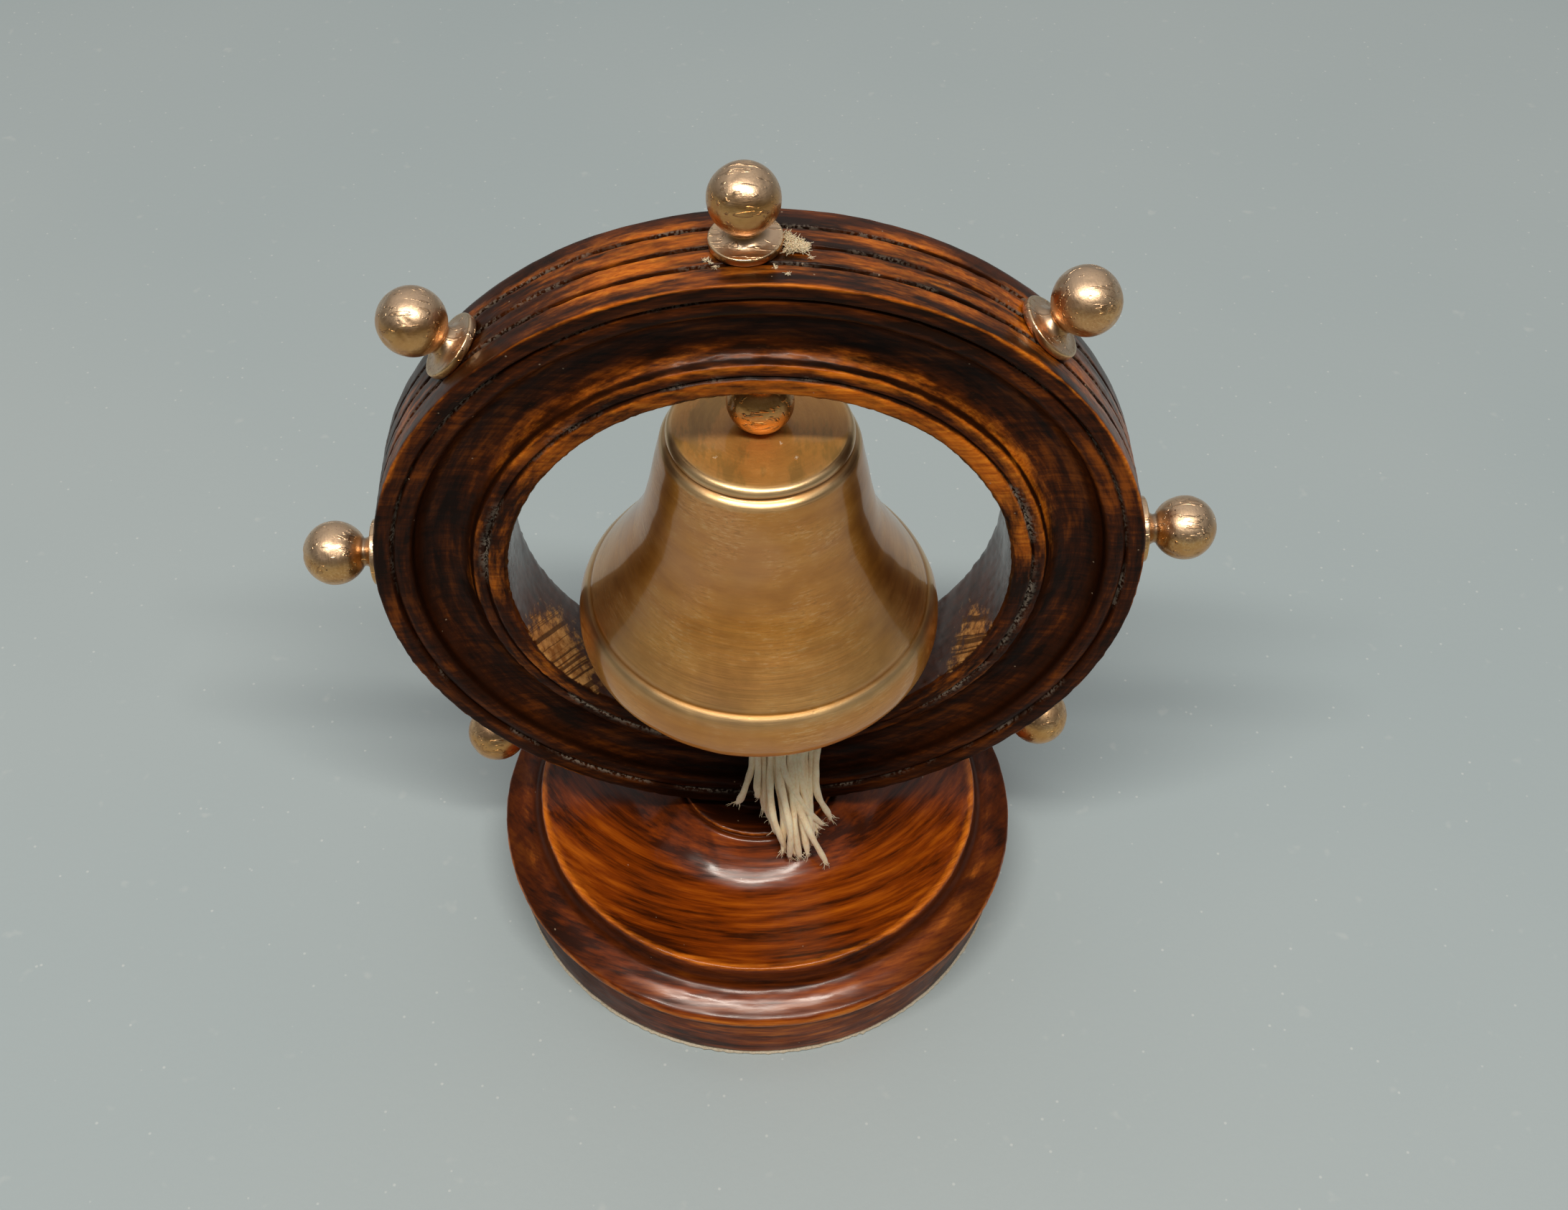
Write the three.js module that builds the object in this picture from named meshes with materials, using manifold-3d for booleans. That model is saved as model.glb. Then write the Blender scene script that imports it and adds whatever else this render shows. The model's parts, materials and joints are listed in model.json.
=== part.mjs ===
// Desk bell in a turned ship's-wheel ring. Millimetres, +Z up, origin at the centre of the
// underside. The wheel lies in the XZ plane and its front faces -Y. "Left" and "right" are
// as seen from the front.
import * as THREE from 'three';
import { mergeVertices } from 'three/addons/utils/BufferGeometryUtils.js';
import Module from 'manifold-3d';

const wasm = await Module();
wasm.setup();

// ---------- driving dimensions ----------
const GAP = 0.05;              // between faces that touch
const FIT = 0.3;               // around a screw, tube or cord in its hole

const RING_OUTER_R = 75;
const RING_BORE_R = 49.2;
const RING_THICKNESS = 21.6;
const RING_CENTRE_Z = 107.3;
const RING_TURN_DEG = 2;       // the wheel stands turned a little, its top towards the left
const RING_SEGMENTS = 48;

const FELT_THICKNESS = 0.9;
const FELT_R = 55.8;
const BASE_SEGMENTS = 44;
const STEM_R = 10.4;
const STEM_FOOT_Z = 30.1;
const STEM_BLANK_TOP_Z = 34;   // the stem before the ring's round seat is cut into it

const KNOB_BALL_R = 6.4;
const KNOB_BALL_Z = 9.6;       // from the flange's seat to the ball's centre
const KNOB_FLANGE_R = 6.6;
const KNOB_SEGMENTS = 16;
const HANGER_BALL_Z = 10.4;
const HANGER_FLAT_DEG = 66;    // where the hanger ball's sphere gives way to its flat

const STUD_R = 1.5;
const STUD_IN_WOOD = 12;
const STUD_IN_KNOB = 6;

const CROWN_Z = 139.6;         // top of the bell
const BELL_HEIGHT = 57.4;
const BELL_WALL = 2.2;
const CROWN_WALL = 2.6;
const BELL_SEGMENTS = 40;

const TUBE_OUTER_R = 2.5;
const TUBE_BORE_R = 1.7;
const TUBE_TOP_Z = 168;
const TUBE_BOTTOM_Z = 132.4;
const TUBE_HOLE_R = TUBE_OUTER_R + FIT;

const CORD_R = 1.2;
const CORD_SPLIT_Z = 134.3;     // where the fixed cord in the tube ends and the twisting end begins
const KNOT_R = 2.4;
const KNOT_FLATTENING = 0.6;
const CLAPPER_PIVOT_Z = 128;
const CLAPPER_BALL_R = 7;
const CLAPPER_BALL_Z = 89.5;
const TASSEL_TOP_Z = 77.4;

const NUT_CORNER_R = 4.7;
const NUT_HEIGHT = 3;
const CROWN_WASHER_R = 6;
const CROWN_WASHER_THICKNESS = 0.9;

const SCREW_R = 2;
const SCREW_HOLE_R = SCREW_R + FIT;
const SCREW_TIP_Z = 47;
const SCREW_HEAD_R = 4.4;
const SCREW_HEAD_HEIGHT = 3.15;
const BASE_WASHER_R = 5.6;
const BASE_WASHER_THICKNESS = 1.1;
const RECESS_R = 6.4;
const RECESS_TOP_Z = 11;

const KNOB_PLACES = [
  ['top', 0],
  ['upper_right', 45],
  ['right', 90],
  ['lower_right', 135],
  ['lower_left', 225],
  ['left', 270],
  ['upper_left', 315],
];

// ---------- materials ----------
function material(name, colour, roughness, metalness) {
  const made = new THREE.MeshStandardMaterial({ color: colour, roughness, metalness });
  made.name = name;
  return made;
}

const stainedBeech = () => material('stained_beech', 0x4a220e, 0.32, 0);
const satinBrass = () => material('satin_brass', 0x9c7040, 0.38, 1);
const plainBrass = () => material('plain_brass', 0xa98248, 0.3, 1);
const steel = () => material('steel', 0x8d8f92, 0.35, 1);
const cotton = () => material('cotton', 0xdccfb4, 0.95, 0);
const felt = () => material('felt', 0xd9cdb2, 1, 0);

// ---------- geometry helpers ----------
const rad = THREE.MathUtils.degToRad;
const point = (r, h) => new THREE.Vector2(r, h);

// Points of a circular arc in a profile plane, angles in degrees from the radial direction.
function arc(centreR, centreH, radius, fromDeg, toDeg, steps) {
  return Array.from({ length: steps + 1 }, (_, i) => {
    const a = rad(fromDeg + ((toDeg - fromDeg) * i) / steps);
    return point(centreR + radius * Math.cos(a), centreH + radius * Math.sin(a));
  });
}

// A turned shape about +Z from (radius, height) points.
function turned(points, segments) {
  return new THREE.LatheGeometry(points, segments).rotateX(Math.PI / 2);
}

// Drops normals, joins equal vertices and removes triangles without area.
function welded(geometry) {
  const bare = geometry.clone();
  bare.deleteAttribute('normal');
  bare.deleteAttribute('uv');
  const merged = mergeVertices(bare, 1e-4);
  const kept = [];
  const index = merged.index.array;
  for (let i = 0; i < index.length; i += 3) {
    const [a, b, c] = [index[i], index[i + 1], index[i + 2]];
    if (a !== b && b !== c && c !== a) {
      kept.push(a, b, c);
    }
  }
  merged.setIndex(kept);
  return merged;
}

function toManifold(geometry) {
  const clean = welded(geometry);
  return new wasm.Manifold(new wasm.Mesh({
    numProp: 3,
    vertProperties: new Float32Array(clean.attributes.position.array),
    triVerts: new Uint32Array(clean.index.array),
  }));
}

function fromManifold(solid) {
  const mesh = solid.getMesh();
  const geometry = new THREE.BufferGeometry();
  geometry.setAttribute('position', new THREE.BufferAttribute(mesh.vertProperties, 3));
  geometry.setIndex(new THREE.BufferAttribute(mesh.triVerts, 1));
  geometry.computeVertexNormals();
  return geometry;
}

function cut(geometry, tools) {
  const start = toManifold(geometry);
  return fromManifold(tools.reduce((solid, tool) => solid.subtract(toManifold(tool)), start));
}

// A rod along +Z between two heights.
function rod(radius, fromZ, toZ, segments = 14) {
  const length = toZ - fromZ;
  return new THREE.CylinderGeometry(radius, radius, length, segments)
    .rotateX(Math.PI / 2)
    .translate(0, 0, fromZ + length / 2);
}

// A round sleeve or washer along +Z.
function sleeve(outerR, boreR, fromZ, toZ, segments) {
  const profile = [
    point(boreR, fromZ),
    point(outerR, fromZ),
    point(outerR, toZ),
    point(boreR, toZ),
    point(boreR, fromZ),
  ];
  return turned(profile, segments);
}

function piece(name, geometry, mat) {
  const mesh = new THREE.Mesh(geometry, mat);
  mesh.name = name;
  return mesh;
}

// ---------- base ----------
// Flared side, rolled rim, shallow hollow, cove and ridge, then a dish that sweeps up to the
// collar and the stem.
function baseProfile() {
  const hollow = new THREE.QuadraticBezierCurve(point(57.4, 18.4), point(55.4, 19.1), point(53.1, 20.2));
  const cove = new THREE.QuadraticBezierCurve(point(52.2, 20.5), point(50.2, 21), point(49.8, 24.1));
  const dish = new THREE.SplineCurve([
    point(46.8, 24.75), point(42.5, 23.6), point(37, 22.8), point(32, 22.5),
    point(28, 22.8), point(25, 24.1), point(21.6, 26.5), point(18.8, 28.8),
  ]);
  return [
    point(0, FELT_THICKNESS),
    point(55.2, FELT_THICKNESS),
    point(55.9, 1.6),
    point(57.1, 13.6),
    point(57.2, 14.9),
    ...arc(57, 16.95, 1.2, -60, 75, 4),
    ...hollow.getPoints(4),
    ...cove.getPoints(4),
    point(49.4, 25.4),
    point(48.8, 25.5),
    ...dish.getPoints(11),
    ...arc(16.9, 29.3, 0.8, -50, 90, 2),
    point(STEM_R, STEM_FOOT_Z),
    point(STEM_R, STEM_BLANK_TOP_Z),
    point(0, STEM_BLANK_TOP_Z),
  ];
}

function turnedBase() {
  const ringSeat = new THREE.CylinderGeometry(RING_OUTER_R + 0.1, RING_OUTER_R + 0.1, 60, 120)
    .translate(0, 0, RING_CENTRE_Z);
  const screwHole = rod(SCREW_HOLE_R, 0, 36);
  const recess = rod(RECESS_R, 0, RECESS_TOP_Z, 24);
  const body = cut(turned(baseProfile(), BASE_SEGMENTS), [ringSeat, screwHole, recess]);
  return piece('turned_base', body, stainedBeech());
}

function baseFelt() {
  return piece('base_felt', rod(FELT_R, 0, FELT_THICKNESS, BASE_SEGMENTS), felt());
}

function baseScrew() {
  const headTopZ = RECESS_TOP_Z - BASE_WASHER_THICKNESS - 2 * GAP;
  const headBottomZ = headTopZ - SCREW_HEAD_HEIGHT;
  const body = turned([
    point(0, headBottomZ),
    point(SCREW_HEAD_R - 1.8, headBottomZ + 0.3),
    point(SCREW_HEAD_R, headBottomZ + 1.6),
    point(SCREW_HEAD_R, headTopZ),
    point(SCREW_R, headTopZ),
    point(SCREW_R, SCREW_TIP_Z - 4),
    point(0, SCREW_TIP_Z),
  ], 16);
  const slot = new THREE.BoxGeometry(12, 1.1, 2.4).translate(0, 0, headBottomZ);
  return piece('base_screw', cut(body, [slot]), steel());
}

function baseWasher() {
  const top = RECESS_TOP_Z - GAP;
  const body = sleeve(BASE_WASHER_R, SCREW_HOLE_R, top - BASE_WASHER_THICKNESS, top, 20);
  return piece('base_washer', body, steel());
}

// ---------- wheel ring ----------
// One face from the bore outwards, as (radius, depth below the face): inner band, scratched
// line, step, wide cove, bead, scratched line and outer band.
function faceProfile(edgeRounding) {
  const cove = new THREE.CubicBezierCurve(point(56.3, 2), point(58.2, 5.4), point(65.6, 5.4), point(67.2, 2.2));
  const bead = new THREE.QuadraticBezierCurve(point(67.7, 0.9), point(69.2, -0.5), point(71, 0.6));
  return [
    point(RING_BORE_R, 0.7),
    point(RING_BORE_R + 0.7, 0),
    point(52.9, 0),
    point(53.4, 0.9),
    point(53.8, 0.4),
    point(55.8, 0.7),
    ...cove.getPoints(5),
    ...bead.getPoints(2),
    point(71.3, 1.2),
    point(71.7, 0.1),
    point(RING_OUTER_R - edgeRounding, 0),
    point(RING_OUTER_R - edgeRounding * 0.3, edgeRounding * 0.3),
    point(RING_OUTER_R, edgeRounding),
  ];
}

// Three fine grooves round the outer surface.
function rimGrooves() {
  const depth = 0.8;
  const halfWidth = 0.45;
  return [-5.3, -0.3, 4.8].flatMap((y) => [
    point(RING_OUTER_R, y - halfWidth),
    point(RING_OUTER_R - depth, y),
    point(RING_OUTER_R, y + halfWidth),
  ]);
}

function ringProfile() {
  const half = RING_THICKNESS / 2;
  const front = faceProfile(0.6).map((p) => point(p.x, p.y - half));
  const back = faceProfile(1.6).map((p) => point(p.x, half - p.y)).reverse();
  return [...front, ...rimGrooves(), ...back, front[0].clone()];
}

// A hole along a radius of the wheel, at an angle clockwise from the top.
function radialHole(radius, fromR, toR, angleDeg) {
  return rod(radius, fromR, toR).rotateY(rad(angleDeg));
}

function wheelRing() {
  const studHoles = KNOB_PLACES.map(([, angle]) => (
    radialHole(STUD_R + FIT, RING_OUTER_R - STUD_IN_WOOD - 1, RING_OUTER_R + 2, angle)
  ));
  const tubeHole = radialHole(TUBE_HOLE_R, RING_BORE_R - 2, TUBE_TOP_Z + 0.6 - RING_CENTRE_Z, RING_TURN_DEG);
  const screwFromR = RING_CENTRE_Z - SCREW_TIP_Z - 1;
  const screwHole = radialHole(SCREW_HOLE_R, screwFromR, RING_OUTER_R + 2, 180 + RING_TURN_DEG);
  const body = new THREE.LatheGeometry(ringProfile(), RING_SEGMENTS);
  return piece('wheel_ring', cut(body, [...studHoles, tubeHole, screwHole]), stainedBeech());
}

// ---------- knobs ----------
// Flange with a dished top that flares into the neck under the ball.
function knobOutside(ballZ) {
  const neckZ = ballZ - KNOB_BALL_Z;
  return [
    point(KNOB_FLANGE_R - 0.3, 0),
    point(KNOB_FLANGE_R, 0.3),
    point(KNOB_FLANGE_R, 1.5),
    point(KNOB_FLANGE_R - 0.35, 1.85),
    point(4.9, 1.5),
    point(4.1, 1.7 + neckZ * 0.5),
    point(3.4, 2.4 + neckZ),
    point(2.85, 3.2 + neckZ),
    point(2.9, 3.8 + neckZ),
  ];
}

function knobGeometry() {
  const boreR = STUD_R + FIT;
  const boreTop = STUD_IN_KNOB + 0.6;
  return turned([
    point(0, boreTop),
    point(boreR, boreTop),
    point(boreR, 0),
    ...knobOutside(KNOB_BALL_Z),
    ...arc(0, KNOB_BALL_Z, KNOB_BALL_R, -56, 76, 7),
    point(0, KNOB_BALL_Z + KNOB_BALL_R * Math.sin(rad(76))),
  ], KNOB_SEGMENTS);
}

// The knob that carries the bell is drilled through for the tube and flat where the crown bears.
function hangerKnobGeometry() {
  const tip = HANGER_BALL_Z + KNOB_BALL_R * Math.sin(rad(HANGER_FLAT_DEG));
  return turned([
    point(TUBE_HOLE_R, tip),
    point(TUBE_HOLE_R, 0),
    ...knobOutside(HANGER_BALL_Z),
    ...arc(0, HANGER_BALL_Z, KNOB_BALL_R, -56, HANGER_FLAT_DEG, 7),
    point(TUBE_HOLE_R, tip),
  ], KNOB_SEGMENTS);
}

function studGeometry() {
  return turned([
    point(0, -STUD_IN_WOOD),
    point(STUD_R, 2 - STUD_IN_WOOD),
    point(STUD_R, STUD_IN_KNOB - 0.4),
    point(STUD_R - 0.4, STUD_IN_KNOB),
    point(0, STUD_IN_KNOB),
  ], 10);
}

function knobWithStud(place, angleDeg) {
  const spoke = new THREE.Group();
  spoke.rotation.y = rad(angleDeg);
  const knob = piece(`knob_${place}`, knobGeometry(), satinBrass());
  knob.position.z = RING_OUTER_R + GAP;
  const stud = piece(`stud_${place}`, studGeometry(), steel());
  stud.position.z = RING_OUTER_R;
  spoke.add(knob, stud);
  return spoke;
}

function wheel() {
  const group = new THREE.Group();
  group.position.z = RING_CENTRE_Z;
  group.rotation.y = -rad(RING_TURN_DEG);
  group.add(wheelRing());
  KNOB_PLACES.forEach(([place, angle]) => group.add(knobWithStud(place, angle)));
  return group;
}

// ---------- bell and the parts that hang it ----------
// Waist of the bell as (radius, height from the crown), from under the shoulder to the lip line.
function waist(inset) {
  return new THREE.SplineCurve([
    point(19.3 - inset, -4.6),
    point(20.7 - inset, -11.5),
    point(22.2 - inset, -19),
    point(24.4 - inset, -27),
    point(28.3 - inset, -35),
    point(34 - inset, -44.4),
  ]);
}

function bellProfile() {
  const lipWall = 3;
  const mouth = -BELL_HEIGHT;
  const outside = [
    point(34.9, mouth + 0.6),
    point(36.2, mouth + 1.6),
    point(37, mouth + 4.2),
    point(36.65, mouth + 8.4),
    point(36.2, mouth + 9.8),
    point(35.2, mouth + 11.6),
    point(34.15, mouth + 12.6),
    ...waist(0).getPoints(8).reverse(),
    point(18.3, -3.2),
    point(17.5, -2.5),
    point(18, -1.8),
    point(17.7, -0.8),
    point(16.8, 0),
  ];
  const inside = [
    point(TUBE_HOLE_R, -CROWN_WALL),
    point(14.4, -CROWN_WALL),
    point(16, -CROWN_WALL - 1.6),
    ...waist(BELL_WALL).getPoints(5),
    point(36.8 - lipWall, mouth + 6),
    point(36.2 - lipWall, mouth),
  ];
  return [...outside, point(TUBE_HOLE_R, 0), ...inside, point(34.2, mouth), outside[0].clone()];
}

function bell() {
  const body = piece('bell', turned(bellProfile(), BELL_SEGMENTS), satinBrass());
  body.position.z = CROWN_Z;
  return body;
}

function hangerKnob() {
  const body = piece('hanger_knob', hangerKnobGeometry(), satinBrass());
  const tip = HANGER_BALL_Z + KNOB_BALL_R * Math.sin(rad(HANGER_FLAT_DEG));
  body.rotation.x = Math.PI;
  body.position.z = CROWN_Z + GAP + tip;
  return body;
}

function hangerTube() {
  const body = sleeve(TUBE_OUTER_R, TUBE_BORE_R, TUBE_BOTTOM_Z, TUBE_TOP_Z, 18);
  return piece('hanger_tube', body, plainBrass());
}

function crownWasher() {
  const top = CROWN_Z - CROWN_WALL - GAP;
  const body = sleeve(CROWN_WASHER_R, TUBE_HOLE_R, top - CROWN_WASHER_THICKNESS, top, 20);
  return piece('crown_washer', body, plainBrass());
}

function crownNut() {
  const corners = Array.from({ length: 6 }, (_, i) => {
    const a = rad(60 * i);
    return point(NUT_CORNER_R * Math.cos(a), NUT_CORNER_R * Math.sin(a));
  });
  const outline = new THREE.Shape(corners);
  outline.holes.push(new THREE.Path().absarc(0, 0, TUBE_HOLE_R, 0, 2 * Math.PI, true));
  const body = new THREE.ExtrudeGeometry(outline, { depth: NUT_HEIGHT, bevelEnabled: false, curveSegments: 9 });
  const nut = piece('crown_nut', body, plainBrass());
  nut.position.z = CROWN_Z - CROWN_WALL - CROWN_WASHER_THICKNESS - 2 * GAP - NUT_HEIGHT;
  return nut;
}

// ---------- cord, clapper and tassel ----------
// The cord runs down the tube, carries the clapper on a knot and ends in the tassel.
function cordCore() {
  return piece('cord_core', rod(CORD_R, CORD_SPLIT_Z + GAP, TUBE_TOP_Z - 0.5, 10), cotton());
}

function cordNeck() {
  return piece('cord_neck', rod(CORD_R, CLAPPER_PIVOT_Z + CORD_R + FIT, CORD_SPLIT_Z - GAP, 10), cotton());
}

function cordDrop() {
  const body = turned([
    point(0, CLAPPER_BALL_Z - CLAPPER_BALL_R),
    point(CORD_R, CLAPPER_BALL_Z - CLAPPER_BALL_R),
    ...arc(0, CLAPPER_PIVOT_Z, CORD_R, 0, 90, 3),
  ], 10);
  return piece('cord_drop', body, cotton());
}

function clapperBall() {
  const holeR = CORD_R + FIT;
  const edgeDeg = 90 - THREE.MathUtils.radToDeg(Math.asin(holeR / CLAPPER_BALL_R));
  const outside = arc(0, 0, CLAPPER_BALL_R, -edgeDeg, edgeDeg, 10);
  const body = piece('clapper_ball', turned([...outside, outside[0].clone()], 24), plainBrass());
  body.position.z = CLAPPER_BALL_Z;
  return body;
}

function cordKnot() {
  const body = new THREE.SphereGeometry(KNOT_R, 12, 8).scale(1, 1, KNOT_FLATTENING);
  const knot = piece('cord_knot', body, cotton());
  knot.position.z = CLAPPER_BALL_Z - CLAPPER_BALL_R - KNOT_R * KNOT_FLATTENING - GAP;
  return knot;
}

// The unlaid end of the cord leans over the front of the ring and fans out below it.
function tassel() {
  const line = new THREE.CatmullRomCurve3([
    new THREE.Vector3(0, 0, TASSEL_TOP_Z),
    new THREE.Vector3(0.8, -5.6, 70),
    new THREE.Vector3(3, -11.6, 62.6),
    new THREE.Vector3(5, -15, 53.5),
    new THREE.Vector3(6.2, -18, 41),
    new THREE.Vector3(7.1, -20.9, 29.3),
  ]);
  const widths = new THREE.SplineCurve([point(1.8, 1.7), point(3.4, 1.6), point(5.6, 1.4),
    point(7, 1.5), point(7.6, 1.7), point(5.6, 1.5)]);
  const steps = 12;
  const body = new THREE.CylinderGeometry(1, 1, 1, 14, steps);
  const position = body.attributes.position;
  for (let i = 0; i < position.count; i += 1) {
    const along = Math.round((0.5 - position.getY(i)) * steps) / steps;
    const centre = line.getPoint(along);
    const tangent = line.getTangent(along);
    const across = new THREE.Vector3(0, tangent.z, -tangent.y).normalize();
    const half = widths.getPoint(along);
    const side = position.getX(i) * half.x;
    centre.addScaledVector(across, position.getZ(i) * half.y);
    position.setXYZ(i, centre.x + side, centre.y, centre.z);
  }
  return piece('tassel', body, cotton());
}

function cordTuft() {
  const body = new THREE.IcosahedronGeometry(1, 1).scale(1.8, 2.4, 1.2);
  const tuft = piece('cord_tuft', body, cotton());
  tuft.position.set(6.3, 0, RING_CENTRE_Z + RING_OUTER_R + 1.2);
  return tuft;
}

// ---------- assembly ----------
const part = new THREE.Group();
part.name = 'wheel_bell';
part.add(baseFelt(), turnedBase(), baseScrew(), baseWasher());
part.add(wheel());
part.add(hangerKnob(), hangerTube(), bell(), crownWasher(), crownNut());
part.add(cordCore(), cordNeck(), cordDrop(), clapperBall(), cordKnot(), tassel(), cordTuft());

export default part;
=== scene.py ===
"""Looks of the ship's wheel desk bell: turned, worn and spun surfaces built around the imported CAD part."""
import json
import math

import bmesh
import bpy
import numpy as np
from mathutils import Matrix, Vector


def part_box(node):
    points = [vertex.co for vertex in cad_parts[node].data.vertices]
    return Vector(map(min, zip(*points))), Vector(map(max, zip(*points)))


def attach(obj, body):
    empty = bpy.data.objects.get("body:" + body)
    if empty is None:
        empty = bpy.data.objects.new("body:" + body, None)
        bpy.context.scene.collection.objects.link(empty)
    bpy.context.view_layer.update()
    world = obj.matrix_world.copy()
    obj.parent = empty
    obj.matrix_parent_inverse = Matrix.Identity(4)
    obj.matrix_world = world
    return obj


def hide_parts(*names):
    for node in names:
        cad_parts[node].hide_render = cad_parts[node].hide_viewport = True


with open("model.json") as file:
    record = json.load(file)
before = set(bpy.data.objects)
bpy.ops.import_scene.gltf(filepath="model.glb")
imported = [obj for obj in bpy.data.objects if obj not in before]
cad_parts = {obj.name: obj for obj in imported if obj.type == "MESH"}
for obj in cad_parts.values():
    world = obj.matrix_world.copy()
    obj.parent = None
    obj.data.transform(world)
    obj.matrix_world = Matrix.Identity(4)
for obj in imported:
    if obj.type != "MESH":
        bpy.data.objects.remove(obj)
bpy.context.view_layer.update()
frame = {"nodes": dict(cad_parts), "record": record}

MM = 0.001
STAND, CORD_END, CLAPPER, TASSEL = "stand_and_bell", "cord_end", "clapper", "tassel"

# ---- measures, millimetres
RING_LOW, RING_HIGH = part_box("wheel_ring")
RING_Z = (RING_LOW.z + RING_HIGH.z) / 2 / MM
RING_FRONT_Y = RING_LOW.y / MM
RING_BACK_Y = RING_HIGH.y / MM
RING_R = 75.0
BORE_R = 49.2
RING_TURN = math.radians(2.0)
RIM_GROOVES_Y = (-5.3, -0.3, 4.8)
SEAT_GAP = 0.15                 # between the stem and the ring that stands on it
STEM_R = 10.4
STEM_STRAIGHT_Z = 31.4          # the stem is round and straight up to here
STEM_BLANK_Z = 32.05            # top of the lathe profile, before it is coped to the ring
BELL_TOP_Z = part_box("bell")[1].z / MM
BELL_MOUTH = -57.4              # from the crown
BELL_WALL = 2.2
CROWN_UNDERSIDE = -2.6
CROWN_HOLE_R = 2.8
FELT_TOP_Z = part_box("base_felt")[1].z / MM
KNOB_BALL_R = 6.4
KNOB_BALL_Z = 9.6               # from the flange's seat to the ball's centre
HANGER_BALL_Z = 10.4
KNOB_SEAT_GAP = 0.05
CLAPPER_R = 7.0
CLAPPER_HOLE_R = 1.5
CORD_R = 1.2
CORD_LAY = 7.0                  # length of one turn of the cord's plies
KNOB_CLOCK_DEG = {
    "top": 0, "upper_right": 45, "right": 90, "lower_right": 135,
    "lower_left": 225, "left": 270, "upper_left": 315,
}
ON_AXIS = 1e-6                  # a radius below this lies on the lathe's axis


# ---- mesh building
class Noise:
    """Smooth repeatable noise in space: a sum of plane waves in random directions."""

    def __init__(self, seed, scale_mm, waves=24):
        rng = np.random.default_rng(seed)
        direction = rng.normal(size=(waves, 3))
        direction /= np.linalg.norm(direction, axis=1)[:, None]
        frequency = 2 * math.pi / scale_mm * rng.uniform(0.6, 1.5, waves)
        self.k = direction * frequency[:, None]
        self.phase = rng.uniform(0, 2 * math.pi, waves)
        self.gain = math.sqrt(2.0 / waves)

    def __call__(self, points):
        return np.cos(points @ self.k.T + self.phase).sum(axis=1) * self.gain


def make_mesh(name, vertices_mm, faces, material, smooth=True, attributes=None):
    mesh = bpy.data.meshes.new(name)
    mesh.from_pydata((np.asarray(vertices_mm) * MM).tolist(), [], faces)
    for key, values in (attributes or {}).items():
        values = np.asarray(values, np.float32)
        kind = "FLOAT_VECTOR" if values.ndim == 2 else "FLOAT"
        layer = mesh.attributes.new(key, kind, "POINT")
        layer.data.foreach_set("vector" if values.ndim == 2 else "value", values.ravel())
    mesh.polygons.foreach_set("use_smooth", [smooth] * len(mesh.polygons))
    mesh.update()
    mesh.materials.append(material)
    made = bpy.data.objects.new(name, mesh)
    bpy.context.scene.collection.objects.link(made)
    return made


def softened(keys, rounds=2):
    """Corner-cuts a profile, keeping its two ends. Each key holds what `row` takes."""
    rows = np.array([row(*key) for key in keys])
    for _ in range(rounds):
        near = rows[:-1] * 0.75 + rows[1:] * 0.25
        far = rows[:-1] * 0.25 + rows[1:] * 0.75
        middle = np.stack([near, far], 1).reshape(-1, rows.shape[1])
        rows = np.concatenate([rows[:1], middle, rows[-1:]])
    return rows


def subdivided(rows, longest):
    """Splits the stretches of a profile that are longer than `longest`, so that displacement can act."""
    out = [rows[0]]
    for a, b in zip(rows[:-1], rows[1:]):
        parts = max(1, int(math.ceil(np.linalg.norm(b[:2] - a[:2]) / longest)))
        out += [a + (b - a) * (i / parts) for i in range(1, parts + 1)]
    return np.array(out)


def row(r, h, wear_and_sheen=0.0, dirt=0.0, dust=0.0):
    """One profile point, with how worn, grimy and dusty its surface is; in places these marks also carry
    painted sheen and painted shade.
    """
    return (r, h, wear_and_sheen, dirt, dust)


def arc_rows(centre_h, radius, from_deg, to_deg, steps):
    """An arc about a centre on the axis."""
    rows = []
    for i in range(steps + 1):
        a = math.radians(from_deg + (to_deg - from_deg) * i / steps)
        rows.append(row(radius * math.cos(a), centre_h + radius * math.sin(a)))
    return rows


def bezier_points(points, steps):
    """Points (r, h) along the cubic curve that has these four control points."""
    out = []
    for i in range(steps + 1):
        t = i / steps
        weights = ((1 - t) ** 3, 3 * t * (1 - t) ** 2, 3 * t * t * (1 - t), t ** 3)
        out.append([sum(w * p[axis] for w, p in zip(weights, points)) for axis in (0, 1)])
    return out


def catmull_rom(points, share):
    """The point at a share (0 to 1) of a Catmull-Rom curve through the given points, in plane or space."""
    p = [np.array(q, float) for q in points]
    p = [2 * p[0] - p[1]] + p + [2 * p[-1] - p[-2]]
    spans = len(points) - 1
    s = min(share * spans, spans - 1e-9)
    k, t = int(s), s - int(s)
    a, b, c, d = p[k:k + 4]
    slope = (c - a) * t
    bend = (2 * a - 5 * b + 4 * c - d) * t ** 2
    twist = (3 * b - a - 3 * c + d) * t ** 3
    return 0.5 * (2 * b + slope + bend + twist)


def spline_rows(points, steps, **marks):
    return [row(*catmull_rom(points, i / steps), **marks) for i in range(steps + 1)]


def profile_normals(rows, closed):
    """Unit normals of a profile, to the right of its direction, where there is no material."""
    outline = rows[:, :2]
    ahead = np.roll(outline, -1, 0) if closed else np.vstack([outline[1:], outline[-1:]])
    behind = np.roll(outline, 1, 0) if closed else np.vstack([outline[:1], outline[:-1]])
    along = ahead - behind
    along /= np.maximum(np.linalg.norm(along, axis=1), 1e-9)[:, None]
    return np.stack([along[:, 1], -along[:, 0]], 1)


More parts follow.
